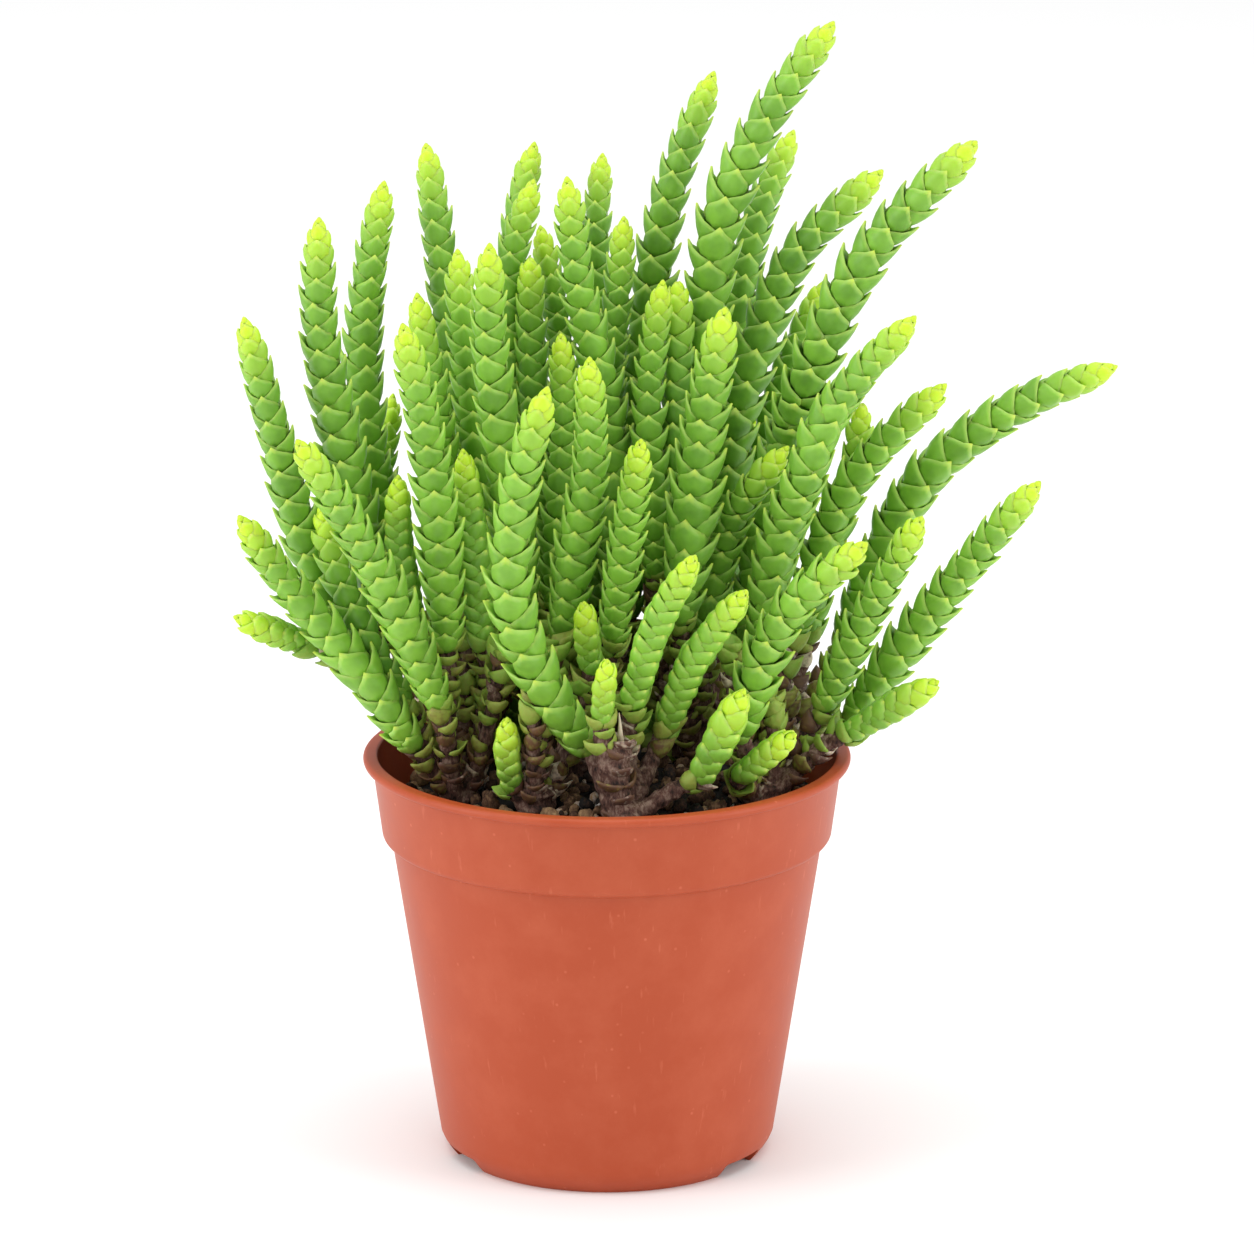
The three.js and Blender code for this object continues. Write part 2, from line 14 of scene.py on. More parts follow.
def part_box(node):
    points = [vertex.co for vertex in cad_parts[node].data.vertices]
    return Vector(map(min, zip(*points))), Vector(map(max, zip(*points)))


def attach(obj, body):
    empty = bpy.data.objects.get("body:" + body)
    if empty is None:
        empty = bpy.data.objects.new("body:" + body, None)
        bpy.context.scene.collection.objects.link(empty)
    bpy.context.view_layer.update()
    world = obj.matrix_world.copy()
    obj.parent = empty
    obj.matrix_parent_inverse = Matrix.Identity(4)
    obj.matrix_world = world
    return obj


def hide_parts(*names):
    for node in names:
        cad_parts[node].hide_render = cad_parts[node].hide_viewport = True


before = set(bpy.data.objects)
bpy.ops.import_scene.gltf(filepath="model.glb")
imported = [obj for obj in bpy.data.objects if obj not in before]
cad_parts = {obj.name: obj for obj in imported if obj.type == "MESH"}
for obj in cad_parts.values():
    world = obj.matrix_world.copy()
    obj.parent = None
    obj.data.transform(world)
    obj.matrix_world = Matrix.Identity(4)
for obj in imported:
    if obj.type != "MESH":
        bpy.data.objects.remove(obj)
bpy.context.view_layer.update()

bl_info = {
    "name": "Potted watch chain crassula",
    "version": (1, 0, 0),
    "blender": (4, 5, 0),
    "location": "View3D > Sidebar > Crassula",
    "description": "Models and finishes a watch chain crassula in its nursery pot",
    "category": "Add Mesh",
}

MM = 0.001
SHOOTS = sorted(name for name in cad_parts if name.startswith("leafy_shoot_"))
CLUMPS = sorted(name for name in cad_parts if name.startswith("woody_stems_"))

# The pot's axis, from the middle of the pot's own box
POT_LOW, POT_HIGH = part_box("pot")
POT_AXIS = Vector(((POT_LOW.x + POT_HIGH.x) / 2, (POT_LOW.y + POT_HIGH.y) / 2, 0))


def linear(hex_colour):
    """An sRGB hex colour as linear red, green, blue and alpha"""
    shares = [int(hex_colour[i:i + 2], 16) / 255 for i in (1, 3, 5)]
    bright = [s / 12.92 if s <= 0.04045 else ((s + 0.055) / 1.055) ** 2.4 for s in shares]
    return (*bright, 1.0)


def length_property(name, description, millimetres):
    return FloatProperty(name=name, description=description, default=millimetres * MM, subtype="DISTANCE",
                         unit="LENGTH", precision=5)


def angle_property(name, description, degrees):
    return FloatProperty(name=name, description=description, default=math.radians(degrees), subtype="ANGLE",
                         unit="ROTATION")


def colour_property(name, description, hex_colour):
    return FloatVectorProperty(name=name, description=description, default=linear(hex_colour), size=4,
                               min=0, max=1, subtype="COLOR")


class PotSettings(PropertyGroup):
    lip_radius: length_property("Lip radius", "Outer radius of the rolled lip", 45)
    lip_thickness: length_property("Lip thickness", "Height of the rolled lip", 1.7)
    lip_width: length_property("Lip width", "How far the lip reaches across the wall's edge", 2.7)
    band_top_radius: length_property("Band top radius", "Collar band's radius under the lip", 43.4)
    band_bottom_radius: length_property("Band bottom radius", "Collar band's radius at its shoulder", 41.6)
    band_bottom: length_property("Band bottom", "Height of the collar band's lower edge", 60.2)
    shoulder_round: length_property("Shoulder round", "Radius of the shoulder under the band", 1.3)
    body_top_radius: length_property("Body top radius", "Tapered body's radius under the band", 39.8)
    heel_radius: length_property("Heel radius", "Tapered body's radius at the heel", 31.25)
    heel_height: length_property("Heel height", "Height of the top of the heel", 4.7)
    foot_radius: length_property("Foot radius", "Radius of the foot ring", 29)
    foot_width: length_property("Foot width", "Thickness of the foot ring", 1.5)
    wall: length_property("Wall", "Thickness of the wall", 1.1)
    base_underside: length_property("Base underside", "Height of the base plate's lower face", 3.6)
    base_thickness: length_property("Base thickness", "Thickness of the base plate", 1.4)
    slot_height: length_property("Slot height", "Height of the drain slots in the foot ring", 2.7)
    slot_half_angle: angle_property("Slot half angle", "Half the width of a drain slot", 11)
    drain_radius: length_property("Drain radius", "Radius of the drain holes", 3)
    drain_circle: length_property("Drain circle", "Radius of the circle of drain holes", 17)
    sides: IntProperty(name="Sides", description="Steps round the pot", default=144, min=32)
    colour: colour_property("Plastic", "Terracotta-coloured plastic", "#AB4623")
    worn: colour_property("Worn plastic", "Scuffed, dusty plastic", "#C76849")


class LeafSettings(PropertyGroup):
    spacing: FloatProperty(name="Spacing", description="Step between grown pairs, in shoot radii",
                           default=0.64, min=0.3)
    young_spacing: FloatProperty(name="Young spacing", description="Step between young pairs, in shoot radii",
                                 default=0.48, min=0.3)
    young_length: length_property("Young shoot", "Shoots shorter than this keep their round young leaves", 40)
    tip_inset: length_property("Tip inset", "How far the last leaves end below the shoot's tip", 1.2)
    bluntness: FloatProperty(name="Bluntness", description="A tip's radius, as a share of the shoot's widest",
                             default=0.72, min=0.3, max=1)
    plumpness: FloatProperty(name="Plumpness", description="A leaf's thickness, in shoot radii",
                             default=0.36, min=0.1)
    spreading: angle_property("Spreading", "How far the oldest leaves stand out", 7)
    young: colour_property("Young leaf", "Leaves at the shoot's tip", "#C4E832")
    fresh: colour_property("Fresh leaf", "Leaves a little below the tip", "#A4D040")
    grown: colour_property("Grown leaf", "Full-grown leaves", "#88BE40")
    # Painted shade: this darker, bluer green stands partly for the shade on shoots further back and partly
    # for the leaves' own mottling
    darker_mottle_and_shade: colour_property("Shaded leaf", "Darker, bluer leaves", "#55862C")
    edge: colour_property("Leaf edge", "Thin pale edges and keels", "#B9D66A")
    point: colour_property("Leaf point", "Yellow points", "#CDE05A")


class WoodSettings(PropertyGroup):
    stalk_radius: length_property("Stalk radius", "Radius of a bare stalk", 1.9)
    crown_radius: length_property("Crown radius", "Radius of the crown in its hole", 4.2)
    scar_spacing: length_property("Scar spacing", "Step between rings of leaf scars", 2.5)
    dead_stems: IntProperty(name="Dead stems", description="Bare old stems in each clump", default=4, min=0)
    dead_height: length_property("Dead height", "How high the tallest dead stem rises over its crown", 30)
    stub_radius: length_property("Stub radius", "Radius of the cut stub", 2.6)
    stub_top: length_property("Stub top", "Height of the cut", 85)
    bark: colour_property("Bark", "Purple-brown bark", "#5E4036")
    # Painted shade: this near-black stands partly for darker bark and partly for the shade in the bark's
    # folds
    bark_dark: colour_property("Dark bark", "Bark in its folds", "#20130E")
    bark_pale: colour_property("Pale bark", "Dry, grey edges of the scars", "#9A8272")
    paper: colour_property("Papery leaf", "Dry, bleached leaf remains", "#D8C8AE")
    green_leaf: colour_property("Green leaf", "Old leaves that are still green", "#7FAE38")
    old_leaf: colour_property("Old leaf", "Shrivelled olive leaves", "#98A445")
    brown_leaf: colour_property("Brown leaf", "Dying leaves", "#6E5030")


class SoilSettings(PropertyGroup):
    radius: length_property("Radius", "Radius of the visible soil", 39)
    largest: length_property("Largest bit", "Size of the largest bark bits", 3.2)
    smallest: length_property("Smallest bit", "Size of the smallest crumbs", 0.9)
    # Painted shade: this near-black is partly dark peat and partly the shade in the gaps between the bits
    dark: colour_property("Dark soil", "Peat in the gaps", "#0B0705")
    brown: colour_property("Bark bits", "Composted bark", "#4A3122")
    tan: colour_property("Fibres", "Dry fibres and bark edges", "#9A7A58")
    grain: colour_property("Pumice", "Pale pumice grains", "#C9C2BC")


class StageSettings(PropertyGroup):
    distance: length_property("Camera distance", "From the pot's axis to the camera, level", 1256)
    height: length_property("Camera height", "Above the floor", 436)
    aside: length_property("Camera aside", "To the right of the pot's axis", 3.7)
    pitch: angle_property("Camera pitch", "How far the camera looks down", 14.99)
    focal_length: FloatProperty(name="Focal length", description="Lens that frames the plant", default=203.2,
                                subtype="DISTANCE_CAMERA", unit="CAMERA")
    floor_colour: colour_property("Floor", "White studio floor", "#F4F4F4")
    world_strength: FloatProperty(name="Room light", description="Strength of the white room",
                                  default=0.7, min=0)
    key_power: FloatProperty(name="Key light", description="Power of the overhead soft box",
                             default=23, min=0, subtype="POWER", unit="POWER")
    fill_power: FloatProperty(name="Fill light", description="Power of each side soft box",
                              default=4.5, min=0, subtype="POWER", unit="POWER")


def add_node(material, kind, inputs=None, stops=None, **settings):
    """Adds a node; each input is a value or the output socket that feeds it"""
    node = material.node_tree.nodes.new(kind)
    for name, value in settings.items():
        setattr(node, name, value)
    for name, value in (inputs or {}).items():
        socket = node.inputs[name]
        if isinstance(value, bpy.types.NodeSocket):
            material.node_tree.links.new(value, socket)
        else:
            socket.default_value = value
    for number, (place, colour) in enumerate(stops or []):
        element = node.color_ramp.elements[number] if number < 2 else node.color_ramp.elements.new(place)
        element.position = place
        element.color = colour
    return node


def new_material(name):
    material = bpy.data.materials.new(name)
    material.use_nodes = True
    material.node_tree.nodes.clear()
    return material


def attribute(material, name):
    return add_node(material, "ShaderNodeAttribute", attribute_name=name).outputs["Fac"]


def object_place(material):
    return add_node(material, "ShaderNodeTexCoord").outputs["Object"]


def drawn_out(material, place, scale, turn=(0.0, 0.0, 0.0)):
    """Turns a pattern, and draws it out along each direction whose scale is under one"""
    return add_node(material, "ShaderNodeMapping", {"Vector": place, "Scale": scale,
                                                    "Rotation": turn}).outputs[0]


def clouds(material, place, scale, detail=2.0, roughness=0.5):
    """Noise with a number of cells a metre"""
    return add_node(material, "ShaderNodeTexNoise", {"Vector": place, "Scale": scale, "Detail": detail,
                                                     "Roughness": roughness}).outputs["Fac"]


def cells(material, place, scale):
    """The distance to the nearest cell's middle, with a number of cells a metre"""
    return add_node(material, "ShaderNodeTexVoronoi", {"Vector": place, "Scale": scale}).outputs["Distance"]


def maths(material, operation, first, second, clamp=False):
    return add_node(material, "ShaderNodeMath", {0: first, 1: second}, operation=operation,
                    use_clamp=clamp).outputs[0]


def remap(material, value, low, high, least=0.0, most=1.0):
    """Turns low to high into least to most"""
    return add_node(material, "ShaderNodeMapRange", {
        "Value": value, "From Min": low, "From Max": high, "To Min": least, "To Max": most,
    }).outputs[0]


def blend(material, share, first, second):
    return add_node(material, "ShaderNodeMix", {0: share, 6: first, 7: second}, data_type="RGBA").outputs[2]


def ramp(material, value, stops):
    """Colours along a value; the first two stops are the ramp's ends"""
    return add_node(material, "ShaderNodeValToRGB", {"Fac": value}, stops).outputs["Color"]


def relief(material, height, strength, depth):
    return add_node(material, "ShaderNodeBump", {"Height": height, "Strength": strength,
                                                 "Distance": depth}).outputs["Normal"]


def add_surface(material, inputs, kind="ShaderNodeBsdfPrincipled"):
    shader = add_node(material, kind, inputs)
    add_node(material, "ShaderNodeOutputMaterial", {"Surface": shader.outputs[0]})
    return material


def deselect_all():
    if bpy.context.object and bpy.context.object.mode != "OBJECT":
        bpy.ops.object.mode_set(mode="OBJECT")
    bpy.ops.object.select_all(action="DESELECT")


def activate(piece):
    deselect_all()
    piece.select_set(True)
    bpy.context.view_layer.objects.active = piece


def pick(piece, test):
    """In edit mode, selects what lies between the vertices that pass a test"""
    shape = bmesh.from_edit_mesh(piece.data)
    for vertex in shape.verts:
        vertex.select = test(vertex)
    shape.select_flush(True)
    shape.select_flush(False)
    bmesh.update_edit_mesh(piece.data)


def apply_modifier(piece, kind, **settings):
    modifier = piece.modifiers.new(kind.title(), kind)
    for name, value in settings.items():
        setattr(modifier, name, value)
    activate(piece)
    bpy.ops.object.modifier_apply(modifier=modifier.name)


def apply_place(piece):
    activate(piece)
    bpy.ops.object.transform_apply(location=True, rotation=True, scale=True)


def join(pieces, name):
    """Joins pieces into the first one and names it"""
    deselect_all()
    for piece in pieces:
        piece.select_set(True)
    bpy.context.view_layer.objects.active = pieces[0]
    if len(pieces) > 1:
        bpy.ops.object.join()
    pieces[0].name = name
    pieces[0].data.name = name
    return pieces[0]


def new_object(name, mesh):
    piece = bpy.data.objects.new(name, mesh)
    bpy.context.scene.collection.objects.link(piece)
    return piece


def copy_of(template, matrix, **values):
    """A copy of a template with its own mesh, put in place, with one number for each attribute named"""
    mesh = template.data.copy()
    mesh.transform(matrix)
    for name, value in values.items():
        attribute = mesh.attributes.get(name) or mesh.attributes.new(name, "FLOAT", "POINT")
        attribute.data.foreach_set("value", [value] * len(mesh.vertices))
    return new_object(template.name, mesh)


def remove(pieces):
    for piece in pieces:
        bpy.data.objects.remove(piece)


def hand_over(piece, slot, *nodes):
    """Hangs the finished piece on the root body and hides the frame's nodes it stands for; the slot is not
    used
    """
    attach(piece, "root")
    if nodes:
        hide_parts(*nodes)


def merged_copy(node, name):
    """A copy of a node of the frame, with its loose triangles merged"""
    piece = new_object(name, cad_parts[node].data.copy())
    piece.data.materials.clear()
    activate(piece)
    bpy.ops.object.mode_set(mode="EDIT")
    bpy.ops.mesh.select_all(action="SELECT")
    bpy.ops.mesh.remove_doubles(threshold=0.002 * MM)
    bpy.ops.object.mode_set(mode="OBJECT")
    return piece


def tube(name, points, radii, sides):
    """A closed tube through points, each with its own radius"""
    curve = bpy.data.curves.new(name, "CURVE")
    curve.dimensions = "3D"
    curve.bevel_depth = 1
    curve.bevel_resolution = (sides - 4) // 2
    curve.use_fill_caps = True
    spline = curve.splines.new("POLY")
    spline.points.add(len(points) - 1)
    for knot, point, radius in zip(spline.points, points, radii):
        knot.co = (*point, 1)
        knot.radius = radius
    piece = new_object(name, curve)
    activate(piece)
    bpy.ops.object.convert(target="MESH")
    bpy.ops.object.mode_set(mode="EDIT")
    bpy.ops.mesh.select_all(action="SELECT")
    bpy.ops.mesh.remove_doubles(threshold=0.002 * MM)
    bpy.ops.mesh.normals_make_consistent(inside=False)
    bpy.ops.mesh.faces_shade_smooth()
    bpy.ops.object.mode_set(mode="OBJECT")
    return piece


def levels_from(start):
    """The vertices that lie one edge, two edges and so on from a vertex"""
    seen = {start}
    level = [start]
    levels = []
    while level:
        levels.append(level)
        following = []
        for vertex in level:
            for edge in vertex.link_edges:
                other = edge.other_vert(vertex)
                if other not in seen:
                    seen.add(other)
                    following.append(other)
        level = following
    return levels


def middle_of(points):
    return sum(points, Vector()) / len(points)


class Path:
    """A smooth line through points, with a radius at each, measured along its length"""

    def __init__(self, points, radii):
        self.points = points
        self.radii = radii
        self.reached = [0.0]
        for first, second in zip(points, points[1:]):
            self.reached.append(self.reached[-1] + (second - first).length)
        self.length = self.reached[-1]

    def at(self, distance):
        """The place and the radius at a distance along the line"""
        distance = min(max(distance, 0), self.length)
        k = max(i for i, reached in enumerate(self.reached[:-1]) if reached <= distance)
        share = (distance - self.reached[k]) / max(self.reached[k + 1] - self.reached[k], 1e-9)
        before = self.points[max(k - 1, 0)]
        after = self.points[min(k + 2, len(self.points) - 1)]
        first, second = self.points[k], self.points[k + 1]
        lead = (second - before) / 2
        trail = (after - first) / 2
        square, cube = share ** 2, share ** 3
        place = (first * (2 * cube - 3 * square + 1) + lead * (cube - 2 * square + share)
                 + second * (3 * square - 2 * cube) + trail * (cube - square))
        radius = self.radii[k] + (self.radii[k + 1] - self.radii[k]) * share
        return place, radius

    def along(self, distance):
        step = self.length / 200
        ahead = self.at(distance + step)[0]
        behind = self.at(distance - step)[0]
        return (ahead - behind).normalized()

    def cross(self, distance):
        """The place, the radius, the direction and the two cross directions, the first across the front"""
        place, radius = self.at(distance)
        along = self.along(distance)
        side = Vector((0, 1, 0)).cross(along).normalized()
        return place, radius, along, side, along.cross(side)


def read_shoot(node, bluntness):
    """A leafy shoot's line from foot to tip, and the turn of its solid's first pair of leaves"""
    piece = merged_copy(node, "reading")
    shape = bmesh.new()
    shape.from_mesh(piece.data)
    remove([piece])
    ends = []
    for vertex in shape.verts:
        if len(vertex.link_edges) == 8:
            levels = levels_from(vertex)
            if all(len(level) == 8 for level in levels[1:-1]) and len(levels[-1]) == 1:
                ends.append(levels)
    levels = min(ends, key=lambda found: found[0][0].co.z)
    rings = [[vertex.co.copy() for vertex in level] for level in levels[1:-1]]
    apex = levels[-1][0].co.copy()
    middles = [middle_of(ring) for ring in rings]
    shape.free()
    reach = []
    for k, ring in enumerate(rings):
        along = (middles[min(k + 1, len(rings) - 1)] - middles[max(k - 1, 0)]).normalized()
        offsets = [point - middles[k] for point in ring]
        reach.append(max((offset - along * offset.dot(along)).length for offset in offsets))
    # The first ring has no leaf tips, and a shoot's tip is blunt, and short shoots are stout
    reach[0] = reach[1] * 0.9
    widest = max(reach)
    reach = [max(radius, bluntness * widest) if k else radius for k, radius in enumerate(reach)]
    path = Path(middles + [apex], reach + [reach[-1]])
    shortness = min(max((34 * MM - path.length) / (12 * MM), 0), 1)
    path.radii = [radius * (1 + 0.38 * shortness) for radius in path.radii]
    tip = max(rings[1], key=lambda point: (point - middles[1]).length) - middles[1]
    _, _, _, side, front = path.cross(path.reached[1])
    return path, math.atan2(tip.dot(front), tip.dot(side))


# A leaf laid out flat, as shares of its shoot's radius: for each column from the keel to the edge, its
# place across, the heights of its base and rim, and how far each row stands from the shoot's axis
GROWN_COLUMNS = (
    (0.0, -0.40, 1.42, (0.72, 0.90, 1.01, 1.06, 1.06)),
    (0.2, -0.38, 1.08, (0.72, 0.88, 0.98, 1.00, 0.96)),
    (0.55, -0.30, 0.74, (0.68, 0.82, 0.91, 0.92, 0.87)),
    (1.0, -0.16, 0.34, (0.55, 0.72, 0.80, 0.82, 0.80)),
)
YOUNG_COLUMNS = (
    (0.0, -0.50, 1.06, (0.62, 0.86, 1.00, 1.05, 0.94)),
    (0.25, -0.48, 0.88, (0.60, 0.84, 0.96, 0.97, 0.86)),
    (0.6, -0.42, 0.62, (0.54, 0.76, 0.86, 0.85, 0.76)),
    (1.0, -0.32, 0.36, (0.46, 0.64, 0.72, 0.72, 0.66)),
)
LEAF_ROWS = 5
# The radius at which two opposite leaves meet, and how far past the meeting line each one wraps
COLLAR = 0.75
WRAP = 1.06
# A leaf's thickness in each row, from its base to its rim, as a share of its full thickness
ROW_THICKNESS = (0.5, 1.0, 1.0, 0.85, 0.25)


def model_leaf(name, columns, settings):
    """One leaf for a shoot with a radius of one: its keel points to -Y and the shoot's axis is Z"""
    half_width = math.pi * COLLAR * WRAP / 2
    steps = 2 * (len(columns) - 1)
    deselect_all()
    bpy.ops.mesh.primitive_grid_add(x_subdivisions=steps, y_subdivisions=LEAF_ROWS - 1, size=2)
    leaf = bpy.context.object
    leaf.name = name
    places = []
    for vertex in leaf.data.vertices:
        column = round(abs(vertex.co.x) * steps / 2)
        row = round((vertex.co.y + 1) * (LEAF_ROWS - 1) / 2)
        places.append((column, row))
    thickness = leaf.vertex_groups.new(name="thickness")
    for index, (column, row) in enumerate(places):
        edge = 1 - 0.75 * columns[column][0]
        thickness.add([index], ROW_THICKNESS[row] * edge, "REPLACE")
    across = [columns[column][0] for column, _ in places]
    along = [row / (LEAF_ROWS - 1) for _, row in places]
    leaf.data.attributes.new("leaf_across", "FLOAT", "POINT").data.foreach_set("value", across)
    leaf.data.attributes.new("leaf_along", "FLOAT", "POINT").data.foreach_set("value", along)
    activate(leaf)
    bpy.ops.object.mode_set(mode="EDIT")
    for column, (place, base, rim, stands) in enumerate(columns):
        pick(leaf, lambda vertex: places[vertex.index][0] == column)
        if column:
            widen = place * half_width / (2 * column / steps)
            bpy.ops.transform.resize(value=(widen, 1, 1), center_override=(0, 0, 0))
        for row, stand in enumerate(stands):
            pick(leaf, lambda vertex: places[vertex.index] == (column, row))
            flat = 2 * row / (LEAF_ROWS - 1) - 1
            height = base + (rim - base) * row / (LEAF_ROWS - 1)
            bpy.ops.transform.translate(value=(0, height - flat, stand - COLLAR))
    bpy.ops.mesh.select_all(action="SELECT")
    bpy.ops.mesh.faces_shade_smooth()
    bpy.ops.object.mode_set(mode="OBJECT")
    apply_modifier(leaf, "SOLIDIFY", thickness=settings.plumpness, offset=-1, vertex_group="thickness",
                   thickness_vertex_group=0.0)
    leaf.rotation_euler = (math.pi / 2, 0, 0)
    apply_place(leaf)
    apply_modifier(leaf, "SIMPLE_DEFORM", deform_method="BEND", deform_axis="Z", angle=math.pi * WRAP)
    leaf.location = (0, -COLLAR, 0)
    apply_place(leaf)
    leaf.vertex_groups.clear()
    return leaf


def leaf_matrix(place, along, outward, radius, tilt, tall=1.0):
    """Stands a leaf on a shoot's axis, keel outwards, tipped out from its base by a tilt"""
    across = along.cross(outward)
    turn = Matrix((across, -outward, along)).transposed().to_4x4()
    hinge = Matrix.Translation((0, -0.45, -0.1))
    tip = hinge @ Matrix.Rotation(tilt, 4, "X") @ hinge.inverted()
    size = Matrix.Diagonal((radius, radius, radius * tall, 1))
    return Matrix.Translation(place) @ turn @ size @ tip


# The sizes of the youngest pairs, from the very tip down, and how far each closes, in degrees
BUD = ((0.3, 47), (0.54, 34), (0.75, 23), (0.88, 14), (0.95, 8), (1.0, 4))


def leafy_shoot(path, spin, leaves, settings, dice, tone):
    """Every leaf of one shoot, in pairs from the tip down, each pair turned by a quarter"""
    young_leaf, grown_leaf = leaves
    stays_young = path.length < settings.young_length
    # Grown shoots turn a pair of leaves to the photograph's camera; young ones keep the solid's turn
    spin = spin + math.pi / 4 if stays_young else math.pi / 2 + dice.uniform(-0.35, 0.35)
    spacing = settings.young_spacing if stays_young else settings.spacing * dice.uniform(0.88, 1.12)
    pieces = []
    depth = settings.tip_inset
    number = 0
    while True:
        radius = path.at(path.length - depth)[1]
        size, closing = BUD[number] if number < len(BUD) else (1.0, 0)
        if stays_young or number < len(BUD):
            leaf, height, width, step = young_leaf, YOUNG_COLUMNS[0][2], 0.97, settings.young_spacing
        else:
            leaf, height, width, step = grown_leaf, GROWN_COLUMNS[0][2], 0.93, spacing
        from_foot = path.length - depth - height * size * width * radius
        if from_foot < 0:
            break
        place, radius, along, side, front = path.cross(from_foot)
        age = depth / (55 * MM) + 0.12 * min(depth / (12 * MM), 1)
        tilt = settings.spreading * min(age, 1) - math.radians(closing)
        turn = spin + (number % 2) * math.pi / 2 + dice.uniform(-0.1, 0.1)
        for opposite in (0, math.pi):
            angle = turn + opposite + dice.uniform(-0.04, 0.04)
            outward = side * math.cos(angle) + front * math.sin(angle)
            wide = radius * size * width * dice.uniform(0.95, 1.05)
            lean = tilt + dice.uniform(-0.05, 0.06)
            matrix = leaf_matrix(place, along, outward, wide, lean, dice.uniform(0.94, 1.08))
            pieces.append(copy_of(leaf, matrix, age=age, tone=tone + dice.uniform(-0.16, 0.16)))
        depth += radius * step * size
        number += 1
    return pieces


def shoot_core(path):
    """The slim stem inside the leaves"""
    steps = max(4, round(path.length / (2 * MM)))
    ends = path.length - 1.3 * path.at(path.length)[1]
    places = [path.at(ends * k / steps) for k in range(steps + 1)]
    radii = [0.5 * radius for _, radius in places]
    radii[-1] *= 0.6
    return tube("core", [place for place, _ in places], radii, 8)


def waxy_leaf(settings):
    # A living succulent leaf: translucent flesh under a wax bloom, which gives a soft, broad sheen
    material = new_material("waxy succulent leaf")
    age = attribute(material, "age")
    tone = attribute(material, "tone")
    along = attribute(material, "leaf_along")
    across = attribute(material, "leaf_across")
    place = object_place(material)
    # Blotches about 3 mm wide, and grain of about 0.4 mm, which is coarser than the real cells
    blotch = clouds(material, place, 330.0)
    grain = clouds(material, place, 2500.0, 1.0)
    body = ramp(material, age, [
        (0.0, settings.young), (0.32, settings.grown), (0.07, settings.young), (0.16, settings.fresh),
    ])
    # Painted shade and mottling: the shoot's tone, which is darker on shoots further back for their shade,
    # and random blotches blend older leaves towards the darker, bluer green
    depth = maths(material, "ADD", tone, maths(material, "ADD", blotch, -0.5), clamp=True)
    depth = maths(material, "MULTIPLY", depth, remap(material, age, 0.08, 0.4))
    body = blend(material, depth, body, settings.darker_mottle_and_shade)
    # The rim and the seam between two leaves are thin and pale
    rim = remap(material, along, 0.8, 1.0)
    seam = remap(material, across, 0.7, 1.0)
    pale = maths(material, "MULTIPLY", maths(material, "MAXIMUM", rim, seam), 0.55)
    body = blend(material, pale, body, settings.edge)
    # The point at the end of the keel is yellow
    near_keel = remap(material, across, 0.0, 0.14, 1.0, 0.0)
    body = blend(material, maths(material, "MULTIPLY", near_keel, rim), body, settings.point)
    return add_surface(material, {
        "Base Color": body, "Roughness": remap(material, blotch, 0.0, 1.0, 0.34, 0.5),
        "Normal": relief(material, grain, 0.25, 0.06 * MM), "IOR": 1.42, "Subsurface Weight": 0.25,
        "Subsurface Radius": (0.5, 1.0, 0.2), "Subsurface Scale": 1.2 * MM, "Specular IOR Level": 0.45,
    })


def green_stem(settings):
    # The young stem between the leaves: the same flesh, with no wax
    material = new_material("green stem")
    streak = clouds(material, object_place(material), 700.0)
    body = ramp(material, streak, [(0.3, settings.grown), (0.7, settings.darker_mottle_and_shade)])
    return add_surface(material, {"Base Color": body, "Roughness": 0.6})


# Shoots seen only through the gaps between others: the foot and the tip from the pot's axis, and the
# widest radius, all in millimetres
HIDDEN_SHOOTS = (
    ((11, 10, 99), (13, 14, 162), 3.6),
    ((-11, 12, 99), (-14, 16, 166), 3.5),
    ((-37, -10, 88), (-52, -6, 125), 3.4),
    ((34, 4, 97), (47, 6, 141), 3.3),
    ((-17.5, 22, 72), (-18.5, 26, 112), 3.4),
    ((8.5, 22, 72), (9.5, 26, 108), 3.4),
)


def hidden_path(foot, tip, radius):
    """A slightly bowed line from foot to tip"""
    foot = POT_AXIS + Vector(foot) * MM
    tip = POT_AXIS + Vector(tip) * MM
    bow = Vector((foot.x - POT_AXIS.x, 0, 0)) * 0.06
    points = [foot, foot.lerp(tip, 0.35) + bow, foot.lerp(tip, 0.7) + bow, tip]
    return Path(points, [0.8 * radius * MM, radius * MM, 0.9 * radius * MM, 0.7 * radius * MM])


